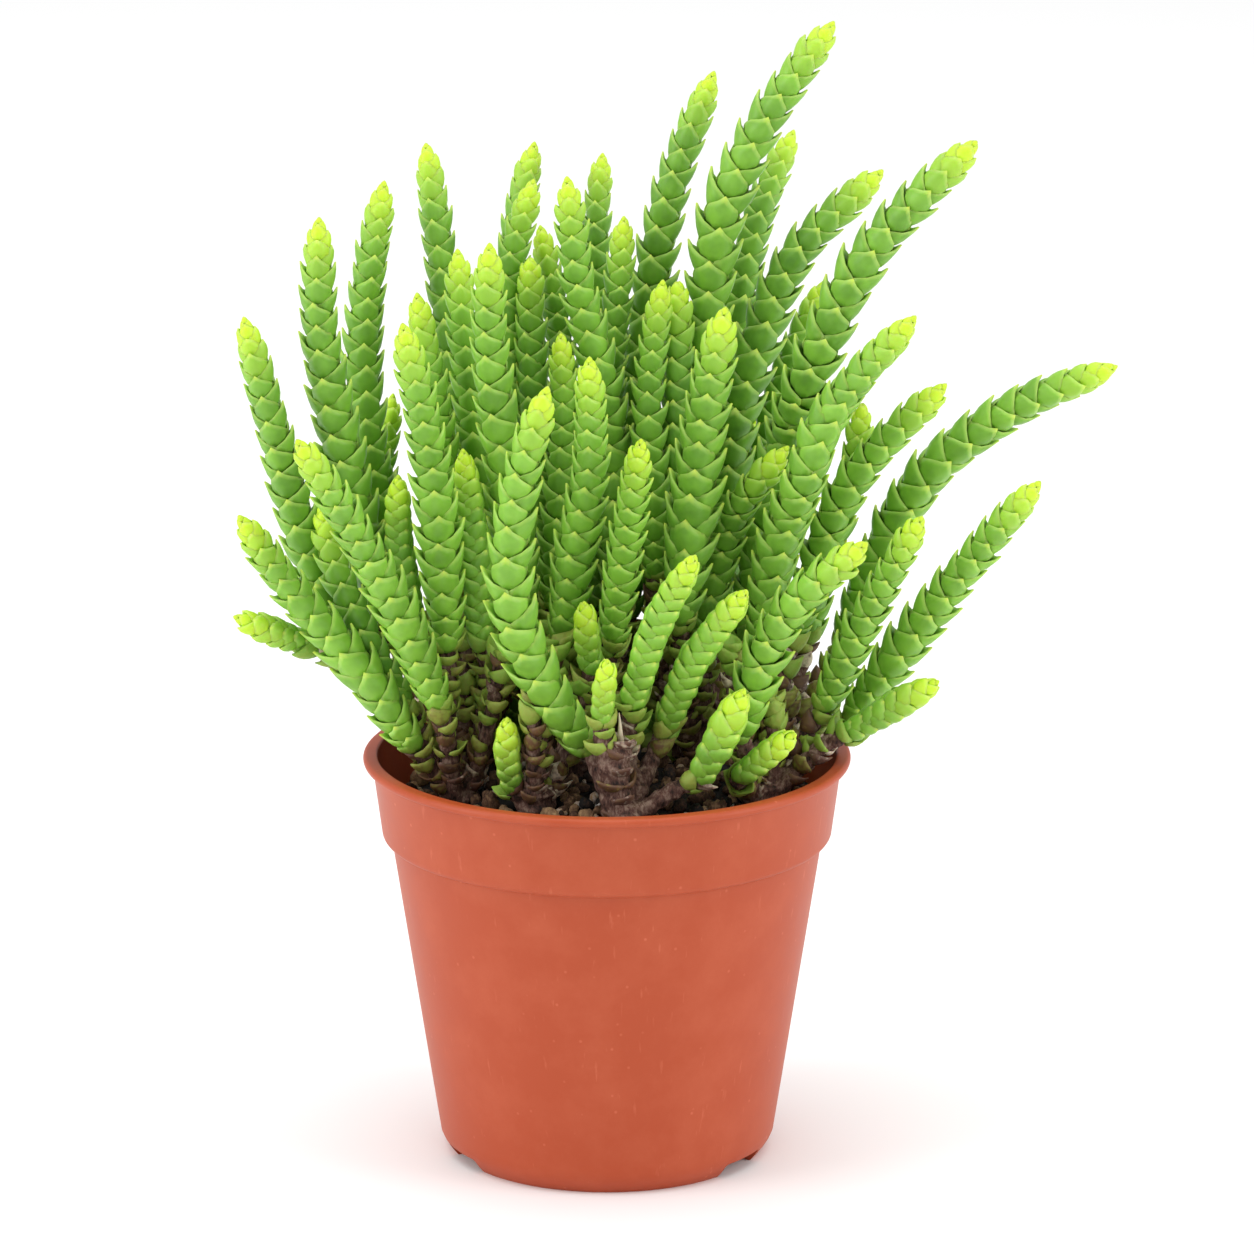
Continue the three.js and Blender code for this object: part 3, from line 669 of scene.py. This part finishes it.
class CRASSULA_OT_shoots(Operator):
    """Models one leaf, and copies it in pairs along every leafy shoot"""

    bl_idname = "crassula.shoots"
    bl_label = "Leafy shoots"

    def execute(self, context):
        settings = context.scene.crassula_leaf
        leaves = [model_leaf("young_leaf", YOUNG_COLUMNS, settings),
                  model_leaf("leaf", GROWN_COLUMNS, settings)]
        flesh = waxy_leaf(settings)
        for leaf in leaves:
            leaf.data.materials.append(flesh)
        stem = green_stem(settings)
        for number, node in enumerate(SHOOTS):
            dice = random.Random(100 + number)
            path, spin = read_shoot(node, settings.bluntness)
            # Painted shade: shoots further back get a darker tone for the shade they stand in; the rest of
            # the tone is random
            back = (path.at(path.length / 2)[0].y - POT_AXIS.y) / (45 * MM)
            tone = 0.32 + 0.3 * back + dice.uniform(-0.12, 0.12)
            core = shoot_core(path)
            core.data.materials.append(stem)
            pieces = leafy_shoot(path, spin, leaves, settings, dice, tone)
            shoot = join(pieces + [core], node.replace("leafy_shoot", "watch_chain"))
            hand_over(shoot, "leaf", node)
        for number, (foot, tip, radius) in enumerate(HIDDEN_SHOOTS):
            dice = random.Random(200 + number)
            path = hidden_path(foot, tip, radius)
            core = shoot_core(path)
            core.data.materials.append(stem)
            # Painted shade: the hidden shoots take a dark tone of 0.6 for the shade between the other shoots
            pieces = leafy_shoot(path, math.pi / 2, leaves, settings, dice, 0.6)
            hand_over(join(pieces + [core], f"hidden_watch_chain_{number + 1}"), "leaf")
        remove(leaves)
        return {"FINISHED"}


def arc(centre, radius, start, end, steps):
    """Points of a round edge in the pot's profile, as radius and height; angles in degrees"""
    points = []
    for k in range(steps + 1):
        angle = math.radians(start + (end - start) * k / steps)
        points.append((centre[0] + radius * math.cos(angle), centre[1] + radius * math.sin(angle)))
    return points


def pot_profile(pot, top):
    """The pot's section from under the base plate, round the outside and down the inside"""
    lip_under = top - pot.lip_thickness
    lip_round = pot.lip_thickness / 2
    base_top = pot.base_underside + pot.base_thickness
    shoulder = pot.shoulder_round
    inner_shoulder = pot.band_bottom + shoulder
    inner_foot = pot.foot_radius - pot.foot_width
    edge = 0.35 * MM
    points = [(inner_foot - edge, pot.base_underside), (inner_foot, pot.base_underside - edge)]
    points += [(inner_foot, edge), (inner_foot + edge, 0)]
    points += [(pot.foot_radius - edge, 0), (pot.foot_radius, edge)]
    for share in (0.25, 0.5, 0.75, 1.0):
        bulge = (pot.heel_radius - pot.foot_radius) * math.sin(share * math.pi / 2)
        points.append((pot.foot_radius + bulge, edge + (pot.heel_height - edge) * share))
    points.append((pot.body_top_radius - 0.12 * MM, pot.band_bottom - 1.2 * MM))
    points.append((pot.body_top_radius, pot.band_bottom - 0.3 * MM))
    points.append((pot.body_top_radius + 0.3 * MM, pot.band_bottom))
    points += arc((pot.band_bottom_radius - shoulder, pot.band_bottom + shoulder), shoulder, -80, 0, 6)
    points.append((pot.band_top_radius - 0.15 * MM, lip_under - 0.5 * MM))
    points.append((pot.band_top_radius + 0.1 * MM, lip_under - 0.1 * MM))
    points += arc((pot.lip_radius - lip_round, top - lip_round), lip_round, -80, 90, 10)
    points += arc((pot.lip_radius - pot.lip_width + 0.5 * MM, top - 0.5 * MM), 0.5 * MM, 90, 180, 4)
    points.append((pot.band_top_radius - pot.wall, lip_under - 0.4 * MM))
    points.append((pot.band_bottom_radius - pot.wall, inner_shoulder + 0.6 * MM))
    points.append((pot.body_top_radius - pot.wall, pot.band_bottom - pot.wall))
    inner_base = pot.heel_radius - pot.wall
    points += arc((inner_base - 1.2 * MM, base_top + 1.2 * MM), 1.2 * MM, 0, -90, 4)
    return points


def cut_away(piece, cutter):
    apply_modifier(piece, "BOOLEAN", object=cutter, operation="DIFFERENCE", solver="EXACT")
    remove([cutter])


def satin_plastic(pot):
    # Injection-moulded polypropylene: an even satin skin, with faint orange peel, scuffs and specks of dust
    material = new_material("moulded terracotta polypropylene")
    place = object_place(material)
    # Cloudy wear some 12 mm wide, and a skin pattern of 0.8 mm
    cloud = clouds(material, place, 80.0, 6.0, 0.65)
    peel = clouds(material, place, 1200.0)
    # Scuffs are fine lines, drawn out along the pot's height
    drawn = drawn_out(material, place, (1.0, 1.0, 0.12), (0.35, 0.2, 0.0))
    scuff = remap(material, clouds(material, drawn, 900.0, 3.0), 0.66, 0.78)
    dust = remap(material, cells(material, place, 260.0), 0.1, 0.04)
    worn = remap(material, cloud, 0.42, 0.75, 0.0, 0.3)
    marks = maths(material, "MULTIPLY", maths(material, "MAXIMUM", scuff, dust), cloud)
    worn = maths(material, "ADD", worn, marks, clamp=True)
    return add_surface(material, {
        "Base Color": blend(material, worn, pot.colour, pot.worn),
        "Roughness": remap(material, cloud, 0.0, 1.0, 0.36, 0.56),
        "Normal": relief(material, peel, 0.12, 0.05 * MM), "IOR": 1.49, "Specular IOR Level": 0.35,
    })


class CRASSULA_OT_pot(Operator):
    """Draws the pot's wall up from its base plate, and cuts its drain slots and holes"""

    bl_idname = "crassula.pot"
    bl_label = "Nursery pot"

    def execute(self, context):
        pot = context.scene.crassula_pot
        profile = pot_profile(pot, POT_HIGH.z)
        radius, height = profile[0]
        deselect_all()
        bpy.ops.mesh.primitive_circle_add(vertices=pot.sides, radius=radius, fill_type="NGON",
                                          location=(POT_AXIS.x, POT_AXIS.y, height))
        piece = bpy.context.object
        apply_place(piece)
        bpy.ops.object.mode_set(mode="EDIT")
        bpy.ops.mesh.select_mode(type="EDGE")
        bpy.ops.mesh.select_all(action="SELECT")
        bpy.ops.mesh.flip_normals()
        for next_radius, next_height in profile[1:]:
            bpy.ops.mesh.extrude_edges_move(TRANSFORM_OT_translate={"value": (0, 0, next_height - height)})
            share = next_radius / radius
            bpy.ops.transform.resize(value=(share, share, 1),
                                     center_override=(POT_AXIS.x, POT_AXIS.y, next_height))
            radius, height = next_radius, next_height
        bpy.ops.mesh.edge_face_add()
        bpy.ops.mesh.select_all(action="SELECT")
        bpy.ops.mesh.normals_make_consistent(inside=False)
        bpy.ops.object.mode_set(mode="OBJECT")
        self.cut_slots(pot, piece)
        self.cut_drains(pot, piece)
        activate(piece)
        bpy.ops.object.shade_smooth_by_angle(angle=math.radians(32))
        piece.name = "nursery_pot"
        piece.data.materials.append(satin_plastic(pot))
        hand_over(piece, "pot", "pot")
        return {"FINISHED"}

    def cut_slots(self, pot, piece):
        for middle in (-153.5, -33.5, 86.5):
            deselect_all()
            length = 8 * MM
            width = 2 * pot.foot_radius * math.sin(pot.slot_half_angle)
            angle = math.radians(middle)
            place = POT_AXIS + Vector((math.cos(angle), math.sin(angle), 0)) * (pot.foot_radius + 0.5 * MM)
            bpy.ops.mesh.primitive_cube_add(size=1, location=place, rotation=(0, 0, angle))
            cutter = bpy.context.object
            cutter.scale = (length, width, 2 * pot.slot_height)
            apply_place(cutter)
            apply_modifier(cutter, "BEVEL", width=0.6 * MM, segments=3)
            cut_away(piece, cutter)

    def cut_drains(self, pot, piece):
        for hole in range(5):
            angle = hole * math.tau / 5
            place = POT_AXIS + Vector((math.cos(angle), math.sin(angle), 0)) * pot.drain_circle
            deselect_all()
            bpy.ops.mesh.primitive_cylinder_add(vertices=32, radius=pot.drain_radius, depth=8 * MM,
                                                location=place + Vector((0, 0, pot.base_underside)))
            cut_away(piece, bpy.context.object)


def crumpled_bit(name, detail, seed, depth, squash):
    """A lump of one unit across, with hollows and ridges of its own"""
    deselect_all()
    bpy.ops.mesh.primitive_ico_sphere_add(subdivisions=detail, radius=1)
    bit = bpy.context.object
    bit.name = name
    dice = random.Random(seed)
    apply_modifier(bit, "DISPLACE", texture=crumple_texture(name, seed), strength=depth,
                   texture_coords="LOCAL")
    activate(bit)
    bpy.ops.object.mode_set(mode="EDIT")
    # Broken faces: what stands past a few planes is pushed back onto them
    for _ in range(5):
        normal = Vector([dice.gauss(0, 1) for _ in range(3)]).normalized()
        limit = dice.uniform(0.5, 0.85)
        shape = bmesh.from_edit_mesh(bit.data)
        for vertex in shape.verts:
            over = vertex.co.dot(normal) - limit
            if over > 0:
                vertex.co -= normal * over * 0.9
        bmesh.update_edit_mesh(bit.data)
    bpy.ops.mesh.select_all(action="SELECT")
    bpy.ops.transform.resize(value=(1, squash, squash * 0.8), center_override=(0, 0, 0))
    bpy.ops.mesh.faces_shade_smooth()
    bpy.ops.object.mode_set(mode="OBJECT")
    return bit


def crumple_texture(name, seed):
    texture = bpy.data.textures.new(name, "CLOUDS")
    texture.noise_scale = 0.55 + 0.1 * (seed % 3)
    texture.noise_depth = 3
    texture.noise_type = "HARD_NOISE"
    return texture


def peat_and_bark(soil, name, low, high):
    # Composted bark and peat: matt, fibrous, tan where dry and torn, and nearly black in the bump's hollows,
    # which is partly dark peat and partly painted shade
    material = new_material(name)
    tone = attribute(material, "tone")
    place = object_place(material)
    # Fibre bundles of about 0.5 mm, drawn out one way, and lumps of about 1.5 mm
    drawn = drawn_out(material, place, (1.0, 0.3, 0.6), (0.6, 0.4, 0.9))
    fibre = clouds(material, drawn, 1900.0, 4.0, 0.7)
    lump = clouds(material, place, 650.0, 4.0, 0.7)
    mix = maths(material, "MULTIPLY", fibre, lump)
    # Painted shade: the low end of the ramp, where the bump is lowest, is near-black
    body = ramp(material, maths(material, "ADD", mix, tone), [
        (low, soil.dark), (high, soil.grain), ((low * 3 + high) / 4, soil.brown),
        ((low + 2 * high) / 3, soil.tan),
    ])
    return add_surface(material, {
        "Base Color": body, "Roughness": 0.85, "Normal": relief(material, mix, 1.0, 0.5 * MM),
        "Specular IOR Level": 0.35,
    })


class CRASSULA_OT_soil(Operator):
    """Remeshes the soil's heap finely and strews it with bark bits, crumbs and pumice"""

    bl_idname = "crassula.soil"
    bl_label = "Potting soil"

    def execute(self, context):
        soil = context.scene.crassula_soil
        heap = merged_copy("soil", "potting_soil")
        apply_modifier(heap, "REMESH", mode="VOXEL", voxel_size=1.1 * MM)
        texture = bpy.data.textures.new("heap", "CLOUDS")
        texture.noise_scale = 2.4 * MM
        texture.noise_depth = 2
        apply_modifier(heap, "DISPLACE", texture=texture, strength=0.6 * MM, mid_level=0.7,
                       texture_coords="LOCAL")
        activate(heap)
        bpy.ops.object.shade_smooth()
        # Painted shade: the heap in the gaps between the bits takes a darker share of the same colours than
        # the bits do
        heap.data.materials.append(peat_and_bark(soil, "dark peat and painted shade", 0.3, 1.05))
        hand_over(heap, "soil", "soil")
        surface = BVHTree.FromObject(heap, context.evaluated_depsgraph_get())
        self.strew(soil, surface)
        return {"FINISHED"}

    def strew(self, soil, surface):
        dice = random.Random(5)
        crowns = []
        for node in CLUMPS:
            low, _ = crown_of(node)
            crowns.append((low.x, low.y))
        large = [crumpled_bit("bark", 3, seed, 0.55, 0.8) for seed in range(7)]
        small = [crumpled_bit("crumb", 2, 20 + seed, 0.5, 0.85) for seed in range(5)]
        grains = [crumpled_bit("grain", 2, 40 + seed, 0.25, 0.95) for seed in range(4)]
        placed = []
        groups = (
            ("bark_bits", large, 190, soil.largest * 0.45, soil.largest * 0.85, (-0.12, 0.24)),
            ("soil_crumbs", small, 460, soil.smallest * 0.9, soil.smallest * 1.9, (-0.12, 0.46)),
            ("pumice_grains", grains, 70, soil.smallest * 0.7, soil.smallest * 1.6, (0.0, 1.0)),
        )
        for name, templates, count, least, most, tones in groups:
            bits = []
            for _ in range(count):
                for _ in range(30):
                    angle = dice.uniform(0, math.tau)
                    reach = soil.radius * math.sqrt(dice.random()) - most / 2
                    x = POT_AXIS.x + reach * math.cos(angle)
                    y = POT_AXIS.y + reach * math.sin(angle)
                    size = dice.uniform(least, most)
                    crowded = any(math.hypot(x - a, y - b) < 0.75 * (size + other) for a, b, other in placed)
                    on_crown = any(math.hypot(x - a, y - b) < 3.6 * MM + size for a, b in crowns)
                    if not on_crown and not (crowded and name == "bark_bits"):
                        break
                if on_crown:
                    continue
                ground = surface.ray_cast(Vector((x, y, 0.2)), Vector((0, 0, -1)))[0]
                if name == "bark_bits":
                    placed.append((x, y, size))
                heaped = 1.4 * MM * dice.random() if y < POT_AXIS.y - 15 * MM else 0
                sink = 0.35 if name == "bark_bits" else 0.1
                turn = Euler([dice.uniform(0, math.tau) for _ in range(3)]).to_matrix().to_4x4()
                place = Matrix.Translation(ground + Vector((0, 0, size * sink + heaped)))
                tone = dice.uniform(*tones)
                bits.append(copy_of(dice.choice(templates), place @ turn @ Matrix.Scale(size, 4), tone=tone))
            piece = join(bits, name)
            if name == "pumice_grains":
                piece.data.materials.append(pumice(soil))
            else:
                piece.data.materials.append(peat_and_bark(soil, name.replace("_", " "), 0.15, 0.85))
            hand_over(piece, "soil")
        remove(large + small + grains)


def pumice(soil):
    # Crushed pumice: pale, matt and full of pores, dusted with peat
    material = new_material("crushed pumice")
    tone = attribute(material, "tone")
    place = object_place(material)
    # Pores of about 0.35 mm
    pores = cells(material, place, 2600.0)
    dirty = maths(material, "MULTIPLY", clouds(material, place, 900.0, 3.0), tone)
    body = ramp(material, dirty, [(0.05, soil.brown), (0.42, soil.grain), (0.2, soil.tan)])
    return add_surface(material, {"Base Color": body, "Roughness": 0.9,
                                  "Normal": relief(material, pores, 0.7, 0.25 * MM)})


# A crown's height, how far in from its top a stalk starts, and the widest circle of stalks on it
CROWN_HEIGHT = 10.65 * MM
CROWN_INSET = 2.5 * MM
STALK_SPREAD = 2.4 * MM
# How many corners a ring of a solid's stalk has, and how near its end lies to its shoot's foot
STALK_SIDES = 5
STALK_REACH = 1.5 * MM


def crown_of(node):
    """The lowest point of a clump, under the middle of its crown, and the crown's top"""
    points = [vertex.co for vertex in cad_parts[node].data.vertices]
    bottom = min(point.z for point in points)
    low = [point for point in points if point.z < bottom + 0.01 * MM]
    middle = Vector((
        (min(p.x for p in low) + max(p.x for p in low)) / 2,
        (min(p.y for p in low) + max(p.y for p in low)) / 2,
        bottom,
    ))
    return middle, middle + Vector((0, 0, CROWN_HEIGHT))


def read_stalks(node, feet):
    """The lines of a clump's stalks, from each shoot's foot down to the crown"""
    piece = merged_copy(node, "reading")
    shape = bmesh.new()
    shape.from_mesh(piece.data)
    remove([piece])
    bottom, top = crown_of(node)
    lines = []
    for foot in feet:
        start = min(shape.verts, key=lambda vertex: (vertex.co - foot).length)
        if (start.co - foot).length > STALK_REACH:
            continue
        line = [start.co.copy()]
        for level in levels_from(start)[1:]:
            if len(level) != STALK_SIDES:
                break
            line.append(middle_of([vertex.co for vertex in level]))
        last = line[-1]
        outward = Vector((last.x - top.x, last.y - top.y, 0))
        if outward.length > STALK_SPREAD:
            outward *= STALK_SPREAD / outward.length
        line.append(top + outward - Vector((0, 0, CROWN_INSET)))
        lines.append(line)
    shape.free()
    return lines


def weathered_bark(wood):
    # Old succulent bark: purple-brown cork with dry grey ridges along it, and near-black between the ridges,
    # which is partly darker bark and partly painted shade in the folds
    material = new_material("weathered bark")
    place = object_place(material)
    # Ridges of about 0.5 mm, drawn out along the stems, and blotches of 2 mm
    ridge = clouds(material, drawn_out(material, place, (1.0, 1.0, 0.35)), 1700.0, 4.0, 0.7)
    blotch = clouds(material, place, 500.0, 3.0)
    bright = remap(material, maths(material, "ADD", ridge, blotch), 0.7, 1.35)
    # Painted shade: where the ridge noise is low, in the hollows of the bump, the bark turns near-black
    body = ramp(material, bright, [(0.1, wood.bark_dark), (0.9, wood.bark_pale), (0.45, wood.bark)])
    return add_surface(material, {
        "Base Color": body, "Roughness": 0.8, "Normal": relief(material, ridge, 1.0, 0.35 * MM),
        "Specular IOR Level": 0.35,
    })


def old_leaf_flesh(wood):
    # Ageing leaves: olive and yellow flesh that shrinks, browns at the edge and dries to bleached paper
    material = new_material("ageing leaf")
    tone = attribute(material, "tone")
    # Wrinkles and stains of about 1 mm
    stain = clouds(material, object_place(material), 1000.0, 3.0)
    shift = maths(material, "MULTIPLY", maths(material, "ADD", stain, -0.5), 0.5)
    body = ramp(material, maths(material, "ADD", tone, shift, clamp=True), [
        (0.0, wood.green_leaf), (1.0, wood.paper), (0.42, wood.old_leaf), (0.66, wood.brown_leaf),
        (0.84, wood.bark),
    ])
    return add_surface(material, {
        "Base Color": body, "Roughness": 0.6, "Normal": relief(material, stain, 0.6, 0.25 * MM),
        "Subsurface Weight": 0.1, "Subsurface Scale": 1.0 * MM,
    })


def ringed_stem(name, path, wood, radius, dice, sides):
    """A stem whose radius swells at each ring of leaf scars and wanders between them"""
    steps = max(6, round(path.length / (0.45 * MM)))
    points = []
    radii = []
    offset = dice.uniform(0, 1)
    for k in range(steps + 1):
        distance = path.length * k / steps
        place, _ = path.at(distance)
        phase = (distance / wood.scar_spacing + offset + 0.25 * noise.noise(place / (4 * MM))) % 1
        scar = math.exp(-((phase - 0.5) / 0.13) ** 2)
        wander = 0.12 * noise.noise(place / (1.5 * MM))
        radii.append(radius * (0.84 + 0.2 * scar + wander))
        points.append(place)
    return tube(name, points, radii, sides)


class CRASSULA_OT_wood(Operator):
    """Draws every ringed stalk, crown and the cut stub, with old leaves and papery remains on them"""

    bl_idname = "crassula.wood"
    bl_label = "Woody stems"

    def execute(self, context):
        wood = context.scene.crassula_wood
        bark = weathered_bark(wood)
        ageing = old_leaf_flesh(wood)
        leaf = model_leaf("old_leaf", YOUNG_COLUMNS, context.scene.crassula_leaf)
        husk = model_leaf("husk", GROWN_COLUMNS, context.scene.crassula_leaf)
        paths = [read_shoot(node, 0)[0] for node in SHOOTS]
        feet = [path.at(0)[0] for path in paths]
        tops = [crown_of(node)[1] for node in CLUMPS]
        hidden_feet = [POT_AXIS + Vector(foot) * MM for foot, _, _ in HIDDEN_SHOOTS]
        for number, node in enumerate(CLUMPS):
            dice = random.Random(300 + number)
            bottom, top = crown_of(node)
            lines = read_stalks(node, feet)
            for foot in hidden_feet:
                if min(tops, key=lambda crown: (crown - foot).length) == top:
                    bend = foot.lerp(top, 0.5) - Vector((0, 0, 2 * MM))
                    lines.append([foot, bend, top - Vector((0, 0, CROWN_INSET))])
            in_front = node == "woody_stems_front"
            stems = []
            leaves = []
            for line in lines:
                line = line[::-1]
                path = Path(line, [wood.stalk_radius] * len(line))
                stems.append(ringed_stem("stalk", path, wood, wood.stalk_radius, dice, 10))
                leaves += self.old_leaves(path, (leaf, husk), wood, dice, wood.stalk_radius, in_front)
            for _ in range(0 if in_front else wood.dead_stems):
                path = self.dead_stem(top, wood, dice)
                stems.append(ringed_stem("dead", path, wood, wood.stalk_radius * 0.8, dice, 8))
                leaves += self.old_leaves(path, (leaf, husk), wood, dice, wood.stalk_radius * 0.8, False)
            crown = Path([bottom, (bottom + top) / 2, top], [1, 1, 1])
            stems.append(ringed_stem("crown", crown, wood, wood.crown_radius * 0.93, dice, 16))
            if in_front:
                lean = Vector((-0.8 * MM, -0.4 * MM, 0))
                cut = Vector((bottom.x - 0.4 * MM, bottom.y, wood.stub_top))
                start = bottom + Vector((0, 0, CROWN_INSET))
                stub = Path([start, (bottom + 2 * cut) / 3 + lean, cut], [1, 1, 1])
                stems.append(ringed_stem("stub", stub, wood, wood.stub_radius, dice, 20))
                leaves += self.cups(stub, husk, wood, dice)
                spike = [cut - Vector((0, 0, 1 * MM)), cut + Vector((-0.3 * MM, -0.4 * MM, 5.5 * MM))]
                splinter = tube("spike", spike, [0.75 * MM, 0.08 * MM], 8)
                splinter.data.attributes.new("tone", "FLOAT", "POINT").data.foreach_set(
                    "value", [1.2] * len(splinter.data.vertices))
                leaves.append(splinter)
            piece = join(stems, node.replace("woody_stems", "old_wood"))
            apply_modifier(piece, "REMESH", mode="VOXEL", voxel_size=0.55 * MM)
            texture = bpy.data.textures.new("bark", "CLOUDS")
            texture.noise_scale = 0.9 * MM
            texture.noise_depth = 1
            apply_modifier(piece, "DISPLACE", texture=texture, strength=0.35 * MM, texture_coords="LOCAL")
            activate(piece)
            bpy.ops.object.shade_smooth()
            piece.data.materials.append(bark)
            hand_over(piece, "woody_stem", node)
            if leaves:
                remains = join(leaves, node.replace("woody_stems", "old_leaves"))
                remains.data.materials.append(ageing)
                hand_over(remains, "leaf")
        remove([leaf, husk])
        return {"FINISHED"}

    def dead_stem(self, top, wood, dice):
        """A bare old stem that leans out of the crown and ends among the green ones"""
        angle = dice.uniform(0, math.tau)
        outward = Vector((math.cos(angle), math.sin(angle), 0))
        rise = dice.uniform(0.5, 1) * wood.dead_height
        start = top + outward * 1.8 * MM - Vector((0, 0, 3 * MM))
        end = top + outward * dice.uniform(2, 8) * MM + Vector((0, 0, rise))
        inward = (POT_AXIS - end) * 0.12
        end += Vector((inward.x, inward.y, 0))
        return Path([start, start.lerp(end, 0.5) + outward * 1.2 * MM, end], [1, 1, 1])

    def cups(self, stub, husk, wood, dice):
        """The dried leaf bases that ring the stub"""
        pieces = []
        distance = 1.2 * MM
        turn = 0
        while distance < stub.length - 0.5 * MM:
            place, _, along, side, front = stub.cross(distance)
            for opposite in (0, math.pi):
                angle = turn + opposite + 0.6
                outward = side * math.cos(angle) + front * math.sin(angle)
                size = wood.stub_radius * dice.uniform(1.12, 1.28)
                matrix = leaf_matrix(place, along, outward, size, math.radians(dice.uniform(6, 18)), 0.55)
                pieces.append(copy_of(husk, matrix, tone=dice.uniform(0.68, 0.9)))
            turn += math.pi / 2
            distance += wood.scar_spacing
        return pieces

    def old_leaves(self, path, templates, wood, dice, radius, sparse):
        """Leaf pairs along a stalk: plump and green near the shoot, dried to cups further down"""
        leaf, husk = templates
        pieces = []
        turn = dice.uniform(0, math.pi)
        distance = path.length - 0.4 * MM
        while distance > 1.5 * MM:
            down = (path.length - distance) / path.length
            place, _, along, side, front = path.cross(distance)
            for opposite in (0, math.pi):
                dried = dice.random() < 0.12 + 0.75 * down
                if sparse and down > 0.4 or dried and dice.random() < 0.3:
                    continue
                angle = turn + opposite + dice.uniform(-0.3, 0.3)
                outward = side * math.cos(angle) + front * math.sin(angle)
                if dried:
                    size = radius * dice.uniform(1.1, 1.35)
                    tilt = math.radians(dice.uniform(0, 20))
                    tone = dice.uniform(0.6, 0.98)
                else:
                    size = dice.uniform(2.3, 3.1) * MM * (1 - 0.2 * down)
                    tilt = math.radians(dice.uniform(4, 30))
                    tone = dice.uniform(0.05, 0.42) + 0.4 * down
                matrix = leaf_matrix(place, along, outward, size, tilt, dice.uniform(0.7, 1.1))
                pieces.append(copy_of(husk if dried or dice.random() < 0.8 else leaf, matrix, tone=tone))
            turn += math.pi / 2
            distance -= wood.scar_spacing
        return pieces


def add_soft_box(name, place, aim, size, power):
    light = bpy.data.lights.new(name, "AREA")
    light.shape = "RECTANGLE"
    light.size, light.size_y = size
    light.energy = power
    lamp = bpy.data.objects.new(name, light)
    bpy.context.scene.collection.objects.link(lamp)
    lamp.location = place
    lamp.rotation_euler = (Vector(aim) - Vector(place)).to_track_quat("-Z", "Y").to_euler()


class CRASSULA_OT_stage(Operator):
    """Sets up the white floor, the soft light and the camera at the photograph's angle"""

    bl_idname = "crassula.stage"
    bl_label = "Stage"

    def execute(self, context):
        stage = context.scene.crassula_stage
        self.add_floor(stage)
        self.add_lights(stage)
        camera = bpy.data.cameras.new("camera")
        camera.lens = stage.focal_length
        camera.clip_end = 50
        holder = bpy.data.objects.new("camera", camera)
        context.scene.collection.objects.link(holder)
        holder.location = (POT_AXIS.x + stage.aside, POT_AXIS.y - stage.distance, stage.height)
        holder.rotation_euler = (math.pi / 2 - stage.pitch, 0, 0)
        context.scene.camera = holder
        context.scene.view_settings.view_transform = "Standard"
        return {"FINISHED"}

    def add_floor(self, stage):
        deselect_all()
        bpy.ops.mesh.primitive_grid_add(x_subdivisions=8, y_subdivisions=8, size=12, location=(0, 0, 0))
        floor = bpy.context.object
        floor.name = "studio_floor"
        # Matt white paper
        material = new_material("white paper")
        add_surface(material, {"Color": stage.floor_colour}, "ShaderNodeBsdfDiffuse")
        floor.data.materials.append(material)

    def add_lights(self, stage):
        world = bpy.data.worlds.new("white room")
        world.use_nodes = True
        background = world.node_tree.nodes["Background"]
        background.inputs["Color"].default_value = (1, 1, 1, 1)
        background.inputs["Strength"].default_value = stage.world_strength
        bpy.context.scene.world = world
        aim = POT_AXIS + Vector((0, 0, 0.1))
        add_soft_box("overhead soft box", (-0.1, 0.1, 1.7), (0, 0.25, 0), (2.2, 2.2), stage.key_power)
        for side in (-1, 1):
            add_soft_box("side soft box", (side * 0.9, -0.35, 0.4), aim, (0.5, 0.7), stage.fill_power)


class CRASSULA_PT_panel(Panel):
    """Lists the sizes and colours of the plant, and the steps that make it"""

    bl_idname = "CRASSULA_PT_panel"
    bl_label = "Watch chain crassula"
    bl_space_type = "VIEW_3D"
    bl_region_type = "UI"
    bl_category = "Crassula"

    def draw(self, context):
        for title, name, step in PARTS:
            box = self.layout.box()
            box.label(text=title)
            settings = getattr(context.scene, name)
            for key in settings.__annotations__:
                box.prop(settings, key)
            box.operator(step)


# Each part's title, its settings on the scene and the operator that makes it, in order
PARTS = (
    ("Stage", "crassula_stage", "crassula.stage"),
    ("Nursery pot", "crassula_pot", "crassula.pot"),
    ("Potting soil", "crassula_soil", "crassula.soil"),
    ("Woody stems", "crassula_wood", "crassula.wood"),
    ("Leafy shoots", "crassula_leaf", "crassula.shoots"),
)
SETTINGS = {
    "crassula_stage": StageSettings,
    "crassula_pot": PotSettings,
    "crassula_soil": SoilSettings,
    "crassula_wood": WoodSettings,
    "crassula_leaf": LeafSettings,
}
OPERATORS = (CRASSULA_OT_stage, CRASSULA_OT_pot, CRASSULA_OT_soil, CRASSULA_OT_wood, CRASSULA_OT_shoots)


def register():
    for name, settings in SETTINGS.items():
        bpy.utils.register_class(settings)
        setattr(bpy.types.Scene, name, PointerProperty(type=settings))
    for operator in OPERATORS:
        bpy.utils.register_class(operator)
    bpy.utils.register_class(CRASSULA_PT_panel)


def unregister():
    bpy.utils.unregister_class(CRASSULA_PT_panel)
    for operator in reversed(OPERATORS):
        bpy.utils.unregister_class(operator)
    for name, settings in SETTINGS.items():
        delattr(bpy.types.Scene, name)
        bpy.utils.unregister_class(settings)


def main():
    register()
    bpy.ops.crassula.stage()
    bpy.ops.crassula.pot()
    bpy.ops.crassula.soil()
    bpy.ops.crassula.wood()
    bpy.ops.crassula.shoots()


if __name__ == "__main__":
    main()
